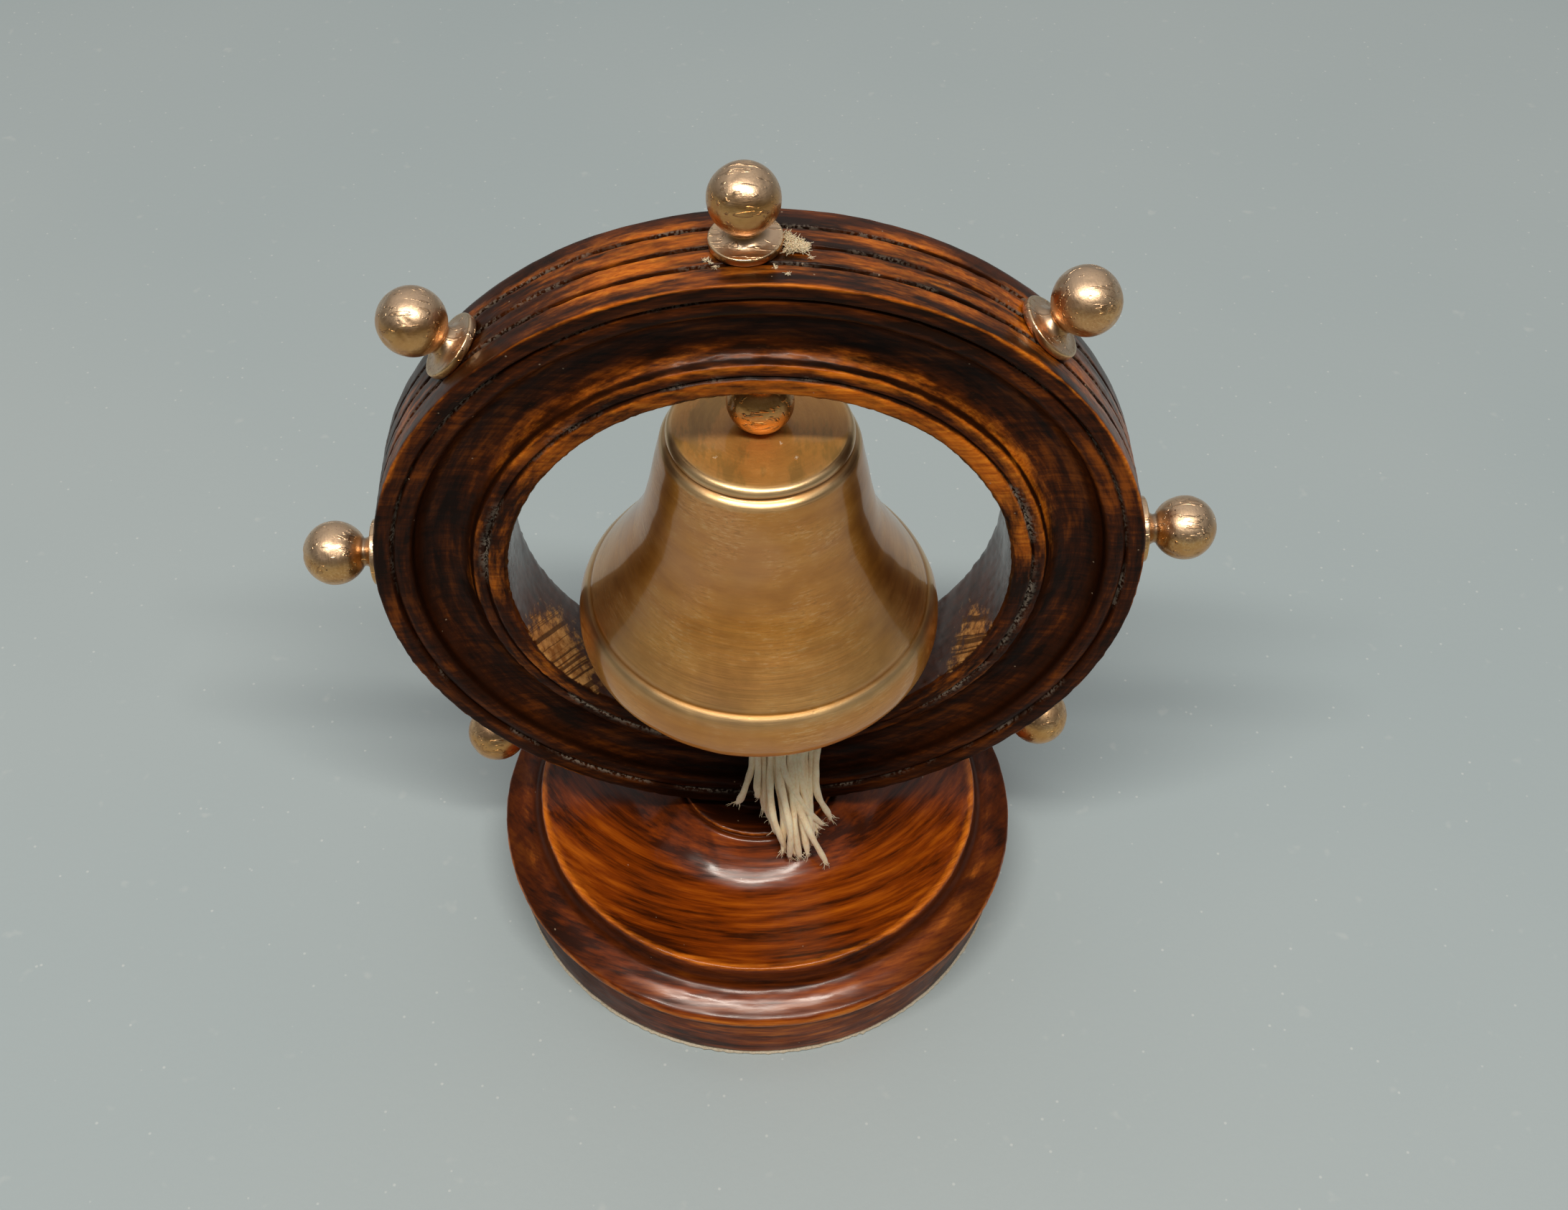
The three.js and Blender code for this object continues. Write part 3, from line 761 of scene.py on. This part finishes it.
def cope_stem(obj):
    """Lifts the stem's top to the ring's round underside."""
    co = points_mm(obj)
    top = co[:, 2] > STEM_STRAIGHT_Z
    seat = RING_Z - np.sqrt(np.maximum((RING_R + SEAT_GAP) ** 2 - co[:, 0] ** 2, 0))
    rise = (co[:, 2] - STEM_STRAIGHT_Z) / (STEM_BLANK_Z - STEM_STRAIGHT_Z)
    co[top, 2] = STEM_STRAIGHT_Z + rise[top] * (seat[top] - STEM_STRAIGHT_Z)
    move_points(obj, co)


def face_rows(edge, worn):
    """One face of the ring, from the bore outwards: inner band, scratched line, step, wide cove, bead,
    scratched line and outer band. edge is the outer rounding's size, worn how far handling has worn it."""
    cove = bezier_points([(56.6, 2.4), (58.4, 5.6), (65.4, 5.6), (67.0, 2.6)], 14)
    return [
        (BORE_R, 1.0, 0.4), (BORE_R + 0.35, 0.3, 0.5), (BORE_R + 1.0, 0.02, 0.85 * worn),
        (51.4, -0.05, 0.8 * worn), (52.4, 0.0, 0.85 * worn), (52.85, 0.14, worn),
        (53.1, 0.5, 0.5 * worn, 0.5, 0.5),
        (53.35, 1.0, 0, 1, 0.7), (53.6, 0.62, 0, 0.4, 0.7), (53.9, 0.45, 0.15, 0, 0.3),
        (54.9, 0.5, 0.6 * worn), (55.5, 0.6, 0.8 * worn), (55.85, 0.85, worn), (56.05, 1.3, 0.35, 0.6),
        (56.35, 2.0, 0, 1),
        *[(r, d, max(0.0, 0.8 - 0.13 * i) * worn, 0.06 * min(i, 4)) for i, (r, d) in enumerate(cove)],
        (67.25, 2.0, 0, 0.95), (67.45, 1.1, 0, 0.8), (67.8, 0.65, 0.35, 0.1),
        (68.5, 0.3, 0.2), (69.4, 0.16), (70.4, 0.32), (71.0, 0.62, 0.1, 0.2),
        (71.25, 1.3, 0, 1, 0.55), (71.5, 0.7, 0.1, 0.4, 0.5), (71.8, 0.16, 0.25),
        (72.6, 0.0, 0.08), (RING_R - edge * 1.4, 0.0, 0.2 * worn),
        (RING_R - edge * 0.5, 0.12 * edge, 0.8 * worn), (RING_R - 0.1, edge * 0.5, 0.9 * worn),
        (RING_R, edge * 1.3, 0.3 * worn),
    ]


def ring_rows():
    """The ring's closed profile, with the world's Y for its height: front, grooved rim, back and bore."""
    front = [(r, RING_FRONT_Y + d, *marks) for r, d, *marks in face_rows(0.6, 1.0)]
    back = [(r, RING_BACK_Y - d, *marks) for r, d, *marks in face_rows(2.0, 0.2)][::-1]
    grooves = []
    # The rim's wear of 0.65 to 0.7 is partly handling and partly the lamp's sheen, painted on the rim's top.
    for y in RIM_GROOVES_Y:
        grooves += [
            (RING_R, y - 1.6, 0.7), (RING_R, y - 0.75, 0.65), (RING_R - 0.05, y - 0.45, 0.6, 0.1),
            (RING_R - 0.85, y - 0.1, 0, 1, 0.1),
            (RING_R - 0.8, y + 0.15, 0, 1, 0.1), (RING_R - 0.1, y + 0.45, 0.3, 0.2, 0.4),
            (RING_R, y + 0.75, 0.65), (RING_R, y + 1.6, 0.7),
        ]
    bore = [(BORE_R, RING_BACK_Y - 4), (BORE_R, 0), (BORE_R, RING_FRONT_Y + 4)]
    profile = softened(front + grooves + back + bore + front[:1])
    return subdivided(profile, 1.4)


def build_ring():
    wood = stained_beech("stained_beech_ring", (0.03, 0.49, 0.87), RING_STAIN, gloss=0.6, ring=True)
    wobble = Noise(11, 34)
    ripple = Noise(12, 6)
    chip = Noise(13, 2.2)

    def displace(points, rows):
        radius, wear_and_sheen = rows[:, 0], rows[:, 2]
        off = 0.05 * wobble(points) + 0.02 * ripple(points) + 0.05 * wear_and_sheen * chip(points)
        near_bore = np.clip((BORE_R + 0.9 - radius) / 0.9, 0, 1)
        return off + 0.035 * near_bore * (chip(points) - 0.4)

    made = lathe("wheel_ring_fine", ring_rows(), wood, 360, closed=True, displace=displace)
    # A quarter turn takes the lathe's +Z to -Y, and the mirror takes it on to +Y.
    upright = Matrix.Rotation(math.radians(90), 4, "X") @ Matrix.Scale(-1, 4, (0, 0, 1))
    place(made, Matrix.Translation((0, 0, RING_Z * MM)) @ Matrix.Rotation(-RING_TURN, 4, "Y") @ upright)
    made.data.flip_normals()
    mark_bore(made)
    mark_handling_and_sheen(made)
    return stand_in(made, STAND, "stained_beech", "wheel_ring")


def ring_places(co):
    """Angle from the top, clockwise from the front, and how far a point lies inside the bore (0 to 1)."""
    angle = np.arctan2(co[:, 0], co[:, 2] - RING_Z)
    radius = np.hypot(co[:, 0], co[:, 2] - RING_Z)
    return angle, np.clip((BORE_R + 0.6 - radius) / 0.5, 0, 1)


def mark_bore(obj):
    """The bore is rough at the lower left and, less so, the lower right, more towards the front. The rest
    of it is polished."""
    co = points_mm(obj)
    angle, inside = ring_places(co)
    lower_left = np.exp(-((angle + 2.15) / 0.28) ** 2)
    lower_right = np.exp(-((angle - 2.05) / 0.22) ** 2)
    towards_front = 0.62 - 0.05 * co[:, 1]
    rough = np.clip(inside * towards_front * (lower_left + 0.75 * lower_right), 0, 1)
    write_mark(obj, "rough", rough)
    write_mark(obj, "polish", inside * np.clip(1 - 2 * rough, 0, 1))


def mark_handling_and_sheen(obj):
    """Handling has worn the edges through mostly round the top, where the extra wear also paints the lamp's
    sheen on the rim; the sides are hardly touched and are made darker.
    """
    co = points_mm(obj)
    angle, inside = ring_places(co)
    top = 0.5 + 0.5 * np.cos(angle - 0.4)
    blotch = Noise(14, 26)(co)
    # The extra wear round the top is partly handling and partly painted sheen.
    worn_and_lit = np.clip(0.36 + 0.66 * top ** 2 + 0.16 * blotch, 0.2, 1.15)
    write_mark(obj, "wear_and_sheen", read_mark(obj, "wear_and_sheen") * worn_and_lit)
    add_darkening(obj, np.clip(0.66 * (1 - top ** 1.2) + 0.12 * blotch, 0, 0.7) * (1 - inside))


# ---- brass
def knob_rows(ball_z, flat_deg):
    """Flange that flares into the neck, then the ball up to flat_deg, where it is cut off nearly flat."""
    shift = ball_z - KNOB_BALL_Z
    keys = [
        (0, 0, 0, 0.6), (6.0, 0, 0, 0.5), (6.4, 0.12, 0.2), (6.6, 0.4, 0.1), (6.62, 1.4),
        (6.52, 1.66, 0.4), (6.25, 1.76, 0.4), (5.6, 1.72), (4.9, 1.72), (4.3, 1.82 + shift * 0.3),
        (3.8, 2.08 + shift * 0.6, 0, 0.1), (3.4, 2.4 + shift, 0, 0.2), (3.1, 2.8 + shift, 0, 0.3),
        (2.88, 3.2 + shift, 0, 0.5), (2.8, 3.6 + shift, 0, 0.7), (3.0, 3.95 + shift, 0, 0.8),
    ]
    ball = arc_rows(ball_z, KNOB_BALL_R, -59, flat_deg, 26)
    tip_r, tip_z = ball[-1][:2]
    end = [row(tip_r * 0.5, tip_z + 0.1), row(0, tip_z + 0.12)]
    return np.concatenate([softened(keys), np.array(ball), np.array(end)])


def build_knob(name, node, seed, ball_z, matrix, brass, flat_deg=72):
    broad = Noise(seed, 9)
    dent = Noise(seed + 50, 3.4)

    def displace(points, rows):
        on_ball = np.clip((points[:, 2] - ball_z + 5.5) / 2, 0, 1)
        hollow = np.minimum(dent(points) + 0.9, 0) * 0.1
        return 0.03 * broad(points) + on_ball * hollow

    made = lathe(name, knob_rows(ball_z, flat_deg), brass, 96, displace=displace)
    place(made, matrix)
    return stand_in(made, STAND, "satin_brass", node)


def build_knobs():
    """The seven spoke knobs. The low ones get less painted sheen on their upper side, and thinner lacquer.
    """
    centre = Matrix.Translation((0, 0, RING_Z * MM))
    outwards = Matrix.Translation((0, 0, (RING_R + KNOB_SEAT_GAP) * MM))
    for i, (where, clock) in enumerate(KNOB_CLOCK_DEG.items()):
        low = where.startswith("lower")
        # The low knobs get less of the sheen painted on their upper side.
        brass = satin_brass("satin_brass_" + where, PALE, brush=0.9, dents=1.2, roughness=(0.29, 0.43),
                            lacquer=0.35 if low else 0.6, lacquer_roughness=0.2, painted_sheen=0.45 if low else 0.8)
        spoke = Matrix.Rotation(math.radians(clock) - RING_TURN, 4, "Y")
        spin = Matrix.Rotation(math.radians(53 * i + 20), 4, "Z")
        matrix = centre @ spoke @ outwards @ spin
        build_knob(f"knob_{where}_fine", f"knob_{where}", 100 + i, KNOB_BALL_Z, matrix, brass)


def build_hanger_knob():
    """The knob turned upside down under the top of the ring, whose flat ball bears on the bell's crown."""
    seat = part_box("hanger_knob")[1].z
    matrix = Matrix.Translation((0, 0, seat)) @ Matrix.Rotation(math.pi, 4, "X")
    brass = satin_brass("satin_brass_hanger", PALE, brush=0.6, dents=1.8, tarnish=0.6)
    build_knob("hanger_knob_fine", "hanger_knob", 120, HANGER_BALL_Z, matrix, brass, flat_deg=66)


BELL_WAIST = [(19.3, -4.6), (20.7, -11.5), (22.2, -19), (24.4, -27), (28.3, -35), (34, -44.4)]


def bell_rows():
    """The bell's closed profile with its crown at height 0: lip, waist, shoulder lines, crown and inside."""
    mouth = BELL_MOUTH
    outside = [
        (34.2, mouth + 0.02, 0.3), (34.9, mouth + 0.35, 0.3), (35.9, mouth + 1.1),
        (36.6, mouth + 2.3), (36.98, mouth + 4.2), (36.95, mouth + 6.4), (36.65, mouth + 8.4),
        (36.2, mouth + 9.8, 0.1), (35.75, mouth + 10.8, 0.5), (35.15, mouth + 11.6, 0.9),
        (34.6, mouth + 12.05, 0.4, 0.2), (34.3, mouth + 12.3, 0, 0.6), (34.15, mouth + 12.6, 0, 0.4),
    ]
    waist = spline_rows(BELL_WAIST, 40)[::-1]
    # The wear that fades out up the low waist is a painted highlight there: paler brass, not real wear.
    waist = [row(r, h, max(0.0, 0.3 - 0.02 * i)) for i, (r, h, *_) in enumerate(waist)]
    top = [
        (19.1, -4.0, 0.5), (18.75, -3.45, 0.9), (18.25, -3.08, 0.8), (17.8, -2.85, 0.2, 0.5),
        (17.45, -2.55, 0, 1), (17.6, -2.25, 0, 0.8), (17.95, -1.95, 0.1, 0.2), (18.0, -1.5, 0.3),
        (17.85, -0.95, 0.8), (17.4, -0.38, 1.0), (16.7, -0.08, 0.7), (15.9, 0.0), (8, 0.0, 0, 0.2),
        (CROWN_HOLE_R, 0, 0, 0.5),
    ]
    inner_waist = spline_rows([(r - BELL_WALL, h) for r, h in BELL_WAIST], 24, dirt=0.5)
    inside = [
        (CROWN_HOLE_R, CROWN_UNDERSIDE, 0, 0.6), (14.2, CROWN_UNDERSIDE, 0, 0.6), (15.6, -3.1, 0, 0.6),
        (16.6, -4.2, 0, 0.6),
        *inner_waist, (33.6, -50, 0, 0.5), (33.8, -52.4, 0, 0.4), (33.3, -56.6, 0, 0.3),
        (33.4, mouth + 0.02, 0.2), (34.2, mouth + 0.02, 0.3),
    ]
    rows = np.concatenate([softened(outside), waist, softened(top), softened(inside)])
    return subdivided(rows, 1.2)


def build_bell():
    broad = Noise(31, 26)
    fine = Noise(32, 8)

    def displace(points, rows):
        return 0.05 * broad(points) + 0.015 * fine(points)

    brass = satin_brass("satin_brass_bell", GOLDEN, dents=0.35, tarnish=0.4, lacquer=0.85,
                        roughness=(0.44, 0.56), spun=True)
    made = lathe("bell_fine", bell_rows(), brass, 288, closed=True, displace=displace)
    place(made, Matrix.Translation((0, 0, BELL_TOP_Z * MM)))
    return stand_in(made, STAND, "satin_brass", "bell")


def build_clapper_ball():
    low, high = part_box("clapper_ball")
    dent = Noise(41, 5)
    edge = math.degrees(math.asin(CLAPPER_HOLE_R / CLAPPER_R))
    rows = arc_rows(0, CLAPPER_R, -90 + edge, 90 - edge, 30)
    rows.append(rows[0])
    brass = satin_brass("satin_brass_clapper", GOLDEN, brush=0.5, dents=0.8)
    made = lathe("clapper_ball_fine", rows, brass, 72, closed=True, displace=lambda p, _: 0.03 * dent(p))
    place(made, Matrix.Translation((0, 0, (low.z + high.z) / 2)))
    return stand_in(made, CLAPPER, "plain_brass", "clapper_ball")


# ---- cotton
def sweep(points, radii, sides, plies=1, ply_turns=0.0, spin=0.0, groove=0.18):
    """Vertices and faces of a tube along points; with plies it has twisted lobes like laid cord."""
    p = np.asarray(points, float)
    tangent = np.gradient(p, axis=0)
    tangent /= np.linalg.norm(tangent, axis=1)[:, None]
    side = np.cross(tangent[0], (0.13, 0.37, 0.92))
    vertices = []
    total = len(p)
    for i in range(total):
        side = side - tangent[i] * (side @ tangent[i])
        side /= np.linalg.norm(side)
        up = np.cross(tangent[i], side)
        for j in range(sides):
            a = 2 * math.pi * j / sides
            twist = 2 * math.pi * ply_turns * i / (total - 1) + spin
            lobe = 1.0 if plies == 1 else 1.0 - groove + groove * abs(math.cos(plies * (a - twist) / 2))
            vertices.append(p[i] + (side * math.cos(a) + up * math.sin(a)) * radii[i] * lobe)
    faces = []
    for i in range(total - 1):
        for j in range(sides):
            k = (j + 1) % sides
            faces.append((i * sides + j, i * sides + k, (i + 1) * sides + k, (i + 1) * sides + j))
    faces.append(tuple(range(sides))[::-1])
    faces.append(tuple((total - 1) * sides + j for j in range(sides)))
    return vertices, faces


def joined(name, parts, material):
    vertices, faces = [], []
    for part_vertices, part_faces in parts:
        shift = len(vertices)
        vertices += list(part_vertices)
        faces += [tuple(v + shift for v in f) for f in part_faces]
    return make_mesh(name, vertices, faces, material)


def smooth_path(points, count):
    return np.array([catmull_rom(points, i / (count - 1)) for i in range(count)])


def fibre(rng, start, direction, length, radius=0.045):
    """One loose cotton fibre as a short wavy hair."""
    steps = 7
    direction = np.asarray(direction, float) / np.linalg.norm(direction)
    bend = rng.normal(size=3) * 0.35
    points = [np.asarray(start) + direction * length * t + bend * length * t * t
              + rng.normal(size=3) * 0.03 * length for t in np.linspace(0, 1, steps)]
    return sweep(points, np.linspace(radius, radius * 0.4, steps), 3)


def tassel_strand(rng, rim_x, bend_x, tip, layer):
    """A soft strand from under the clapper's knot, over the ring's front rim and down to its frayed tip."""
    lift = 0.9 * layer
    tip = np.array(tip, float)
    middle = (np.array((rim_x, -13.6 - lift, 52.0)) + tip) / 2
    path = smooth_path([
        (rng.normal() * 0.8, rng.normal() * 0.6, 79.4),
        (0.4 + 0.15 * rim_x + rng.normal() * 0.3, -3.6 + rng.normal() * 0.3, 73.5 + lift * 0.4),
        (rim_x * 0.6, -8.2, 66.4 + lift * 0.8),
        (rim_x, -12.0 - lift * 0.5, 59.6 + lift * 0.8),
        (rim_x, -13.8 - lift * 0.8, 52.0),
        (bend_x, middle[1] - 0.6 - lift * 0.6, middle[2]),
        tuple(tip),
    ], STRAND_STEPS)
    phase = rng.random(3) * 6
    along = np.linspace(0, 1, STRAND_STEPS)
    path[:, 0] += 0.16 * np.sin(along * 21 + phase[0]) * along
    path[:, 1] += 0.14 * np.sin(along * 17 + phase[1]) * along
    radii = STRAND_R * (1 + 0.09 * np.sin(along * 26 + phase[2]) + 0.05 * np.sin(along * 61 + phase[0]))
    radii[-len(STRAND_TAPER):] *= STRAND_TAPER
    parts = [sweep(path, radii, 14, plies=2, ply_turns=3.5, spin=rng.random() * 6, groove=0.1)]
    end = path[-1] - path[-6]
    end /= np.linalg.norm(end)
    for _ in range(16):
        start = path[-2] + rng.normal(size=3) * 0.26
        parts.append(fibre(rng, start, end + rng.normal(size=3) * 0.3, 1.0 + 0.9 * rng.random(), 0.09))
    for _ in range(7):
        k = rng.integers(26, STRAND_STEPS - 4)
        parts.append(fibre(rng, path[k], rng.normal(size=3), 1.0 + 0.5 * rng.random(), 0.028))
    return parts


STRAND_R = 0.77
STRAND_STEPS = 56
STRAND_TAPER = (1.0, 0.97, 0.88, 0.7, 0.42)
# Each strand: x at the ring's rim, x half way down, tip, and how far out it lies (0 inner to 3 outer).
TASSEL_STRANDS = [
    (-1.6, -3.0, (-5.0, -15.0, 38.0), 1), (-0.4, -0.4, (-0.5, -15.2, 41.0), 2),
    (1.0, 1.3, (2.5, -16.6, 34.0), 1), (2.4, 2.9, (6.0, -21.4, 29.2), 2),
    (3.2, 5.6, (7.9, -22.2, 28.2), 1), (4.2, 6.4, (6.9, -22.8, 27.6), 3),
    (5.3, 9.6, (14.2, -17.2, 32.5), 3), (4.8, 10.2, (15.0, -23.2, 25.6), 2),
    (12.2, 12.9, (15.9, -16.4, 33.8), 1), (10.0, 10.8, (12.6, -18.2, 31.0), 0),
    (6.6, 7.6, (9.0, -22.8, 27.6), 2), (7.4, 9.0, (10.7, -22.4, 28.0), 1),
    (3.6, 5.0, (5.4, -22.0, 28.2), 0), (8.4, 10.4, (12.0, -20.4, 29.4), 1),
    (1.8, 2.2, (3.7, -18.8, 31.6), 0), (9.2, 10.2, (13.2, -17.8, 32.2), 1),
    (11.2, 11.2, (11.6, -19.2, 30.4), 0), (5.8, 6.4, (7.6, -20.8, 29.2), 0),
    (0.2, 0.5, (1.2, -16.0, 36.5), 0), (7.9, 8.0, (9.6, -20.4, 29.4), 0),
]


def build_tassel(material):
    rng = np.random.default_rng(5)
    parts = []
    for rim_x, bend_x, tip, layer in TASSEL_STRANDS:
        parts += tassel_strand(rng, rim_x, bend_x, tip, layer)
    made = joined("tassel_strands", parts, material)
    return stand_in(made, TASSEL, "cotton", "tassel")


def build_cord(name, node, body, material):
    low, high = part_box(node)
    top, bottom = high.z / MM, low.z / MM
    count = max(12, int((top - bottom) * 3))
    path = np.stack([np.zeros(count), np.zeros(count), np.linspace(top, bottom, count)], 1)
    parts = [sweep(path, np.full(count, CORD_R), 18, plies=3, ply_turns=(top - bottom) / CORD_LAY)]
    made = joined(name, parts, material)
    return stand_in(made, body, "cotton", node)


def build_knot(material):
    """An overhand knot under the clapper ball: a trefoil curve that laps itself by one step."""
    low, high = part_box("cord_knot")
    centre = np.array((0, 0, (low.z + high.z) / 2 / MM))
    t = np.linspace(0, 2 * math.pi, 90, endpoint=False)
    radius = 1.15 + 0.5 * np.cos(3 * t)
    loop = np.stack([radius * np.cos(2 * t), radius * np.sin(2 * t), 0.6 * np.sin(3 * t)], 1) + centre
    path = np.vstack([loop, loop[:2]])
    parts = [sweep(path, np.full(len(path), 0.78), 12, plies=3, ply_turns=8)]
    made = joined("cord_knot_tied", parts, material)
    return stand_in(made, CLAPPER, "cotton", "cord_knot")


# Where lint lies, as (x, y): on the ring beside the top knob, and on the bell's crown.
RING_LINT = ((-8.9, -4.6), (-7.9, -5.9), (2.4, -6.5), (8.3, -3.4), (4.4, -8.2), (-9.6, -3.9))
CROWN_LINT = ((-8.4, -9.1), (6.6, -9.3), (3.8, -5.5))


def frayed_wedge(rng, left_x, floor_z):
    """Short hairs packed against the flange and thinning out to the right along the ring."""
    parts = []
    for _ in range(900):
        out = rng.random() ** 1.3
        narrowing = 1 - 0.75 * out
        start = np.array((
            left_x + 3.7 * out,
            -0.9 + 2.2 * narrowing * rng.uniform(-1, 1) - 0.6 * out,
            floor_z + 0.1 + 1.9 * narrowing * rng.random() ** 1.5,
        ))
        direction = rng.normal(size=3) * (0.8, 0.8, 0.6) + (0.2, -0.1, 0.1)
        vertices, faces = fibre(rng, start, direction, 0.5 + 0.5 * rng.random(), 0.1)
        vertices = [np.array((v[0], v[1], max(v[2], floor_z + 0.05))) for v in vertices]
        parts.append((vertices, faces))
    return parts


def lint(rng, spot, hairs, scatter, flatness, length, radius):
    """A speck of matted hairs that lies on a surface."""
    parts = []
    for _ in range(hairs):
        direction = rng.normal(size=3) * (1, 1, flatness)
        parts.append(fibre(rng, spot + rng.normal(size=3) * scatter, direction, length, radius))
    return parts


def build_tuft(material):
    """Frayed cotton pinched under the top knob's flange, with lint round it and on the bell's crown."""
    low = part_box("cord_tuft")[0]
    rng = np.random.default_rng(9)
    parts = frayed_wedge(rng, low.x / MM - 0.4, low.z / MM)
    for x, y in RING_LINT:
        spot = np.array((x, y, RING_Z + math.sqrt(RING_R ** 2 - x ** 2) + 0.25))
        parts += lint(rng, spot, 20, (0.2, 0.2, 0.06), 0.3, 0.5, 0.06)
    for x, y in CROWN_LINT:
        spot = np.array((x, y, BELL_TOP_Z + 0.12))
        parts += lint(rng, spot, 14, (0.14, 0.1, 0.02), 0.25, 0.3, 0.05)
    made = joined("cord_tuft_frayed", parts, material)
    return stand_in(made, STAND, "cotton", "cord_tuft")


def build_felt():
    top = FELT_TOP_Z - 0.02
    rows = [
        (0, 0), (20, 0), (40, 0), (54.5, 0), (55.7, 0.08), (56.0, 0.35), (55.95, 0.7),
        (55.5, top), (50, top), (0, top),
    ]
    fuzz = Noise(61, 1.3)
    made = lathe("base_felt_disc", subdivided(softened(rows), 2.5), felt_cloth("felt_cream"), 420,
                 displace=lambda p, r: 0.09 * fuzz(p) * (r[:, 0] > 55))
    return stand_in(made, STAND, "felt", "base_felt")


# ---- stage
FLOOR_HALF = 30000


def build_floor():
    corners = [(x * FLOOR_HALF, y * FLOOR_HALF, 0) for x, y in ((-1, -1), (1, -1), (1, 1), (-1, 1))]
    make_mesh("floor", corners, [(0, 1, 2, 3)], floor_paint(), smooth=False)


def area_light(name, location, target, size, power, colour):
    data = bpy.data.lights.new(name, "AREA")
    data.shape = "RECTANGLE"
    data.size, data.size_y = size
    data.energy = power
    data.color = colour
    made = bpy.data.objects.new(name, data)
    made.location = location
    made.rotation_euler = (Vector(target) - Vector(location)).to_track_quat("-Z", "Y").to_euler()
    bpy.context.scene.collection.objects.link(made)


ROOM_UP = (0, 0.42, 0.9)        # the room is brightest above and behind the bell
ROOM_LIGHT = ((0.06, 0.057, 0.054), (0.19, 0.185, 0.175), (0.5, 0.485, 0.47))
BACKDROP = (0.4, 0.42, 0.43)


def build_room():
    """Soft light from all round. Seen directly it is an even grey; its gradient shows in reflections."""
    world = bpy.data.worlds.new("room")
    bpy.context.scene.world = world
    world.use_nodes = True
    g = Nodes(world.node_tree)
    height = g.dot(g.node("ShaderNodeTexCoord").outputs["Generated"], ROOM_UP)
    light = g.ramp(height, (0.0, 0.45, 1.0), ROOM_LIGHT)
    seen = g.node("ShaderNodeLightPath").outputs["Is Camera Ray"]
    g.feed(g.tree.nodes["Background"].inputs[0], g.mix(seen, light, BACKDROP))


def build_lights():
    area_light("ceiling_strip", (-0.05, -0.66, 1.72), (0, 0, 0.1), (1.7, 0.11), 27, (1.0, 0.93, 0.83))
    build_room()
    bpy.context.scene.view_settings.view_transform = "Standard"


CAMERA_AT = (-0.00475, -0.27524, 0.40561)
CAMERA_PITCH, CAMERA_YAW, CAMERA_ROLL = (math.radians(v) for v in (-49.12, 2.06, 1.15))
CAMERA_LENS = 46.71


def build_camera():
    """Looks down at the bell from the front; the roll is the camera's tilt about its own axis."""
    data = bpy.data.cameras.new("camera")
    data.sensor_width = 36
    data.lens = CAMERA_LENS
    data.clip_start, data.clip_end = 0.01, 20
    flat = math.cos(CAMERA_PITCH)
    forward = Vector((math.sin(CAMERA_YAW) * flat, math.cos(CAMERA_YAW) * flat, math.sin(CAMERA_PITCH)))
    level = forward.cross(Vector((0, 0, 1))).normalized()
    above = level.cross(forward)
    right = math.cos(CAMERA_ROLL) * level + math.sin(CAMERA_ROLL) * above
    up = -math.sin(CAMERA_ROLL) * level + math.cos(CAMERA_ROLL) * above
    made = bpy.data.objects.new("camera", data)
    axes = Matrix((right, up, -forward)).transposed().to_4x4()
    made.matrix_world = Matrix.Translation(CAMERA_AT) @ axes
    bpy.context.scene.collection.objects.link(made)
    bpy.context.scene.camera = made


# ---- assembly
def finish_hardware():
    """Materials for the CAD nodes that stay in view."""
    brass = plain_metal("plain_brass", (0.62, 0.42, 0.17), (0.34, 0.2, 0.07), 0.28)
    steel = plain_metal("screw_steel", (0.5, 0.5, 0.5), (0.2, 0.2, 0.2), 0.3)
    slots = {s["node"]: s["material_slot"] for s in frame["record"]["subparts"]}
    for node, obj in frame["nodes"].items():
        if slots[node] in ("plain_brass", "steel"):
            obj.data.materials.clear()
            obj.data.materials.append(brass if slots[node] == "plain_brass" else steel)


build_base()
build_ring()
build_knobs()
build_hanger_knob()
build_bell()
build_clapper_ball()
white_cotton = cotton("cotton_cord")
build_tassel(white_cotton)
build_cord("cord_core_laid", "cord_core", STAND, white_cotton)
build_cord("cord_neck_laid", "cord_neck", CORD_END, white_cotton)
build_cord("cord_drop_laid", "cord_drop", CLAPPER, white_cotton)
build_knot(white_cotton)
build_tuft(white_cotton)
build_felt()
finish_hardware()
build_floor()
build_lights()
build_camera()
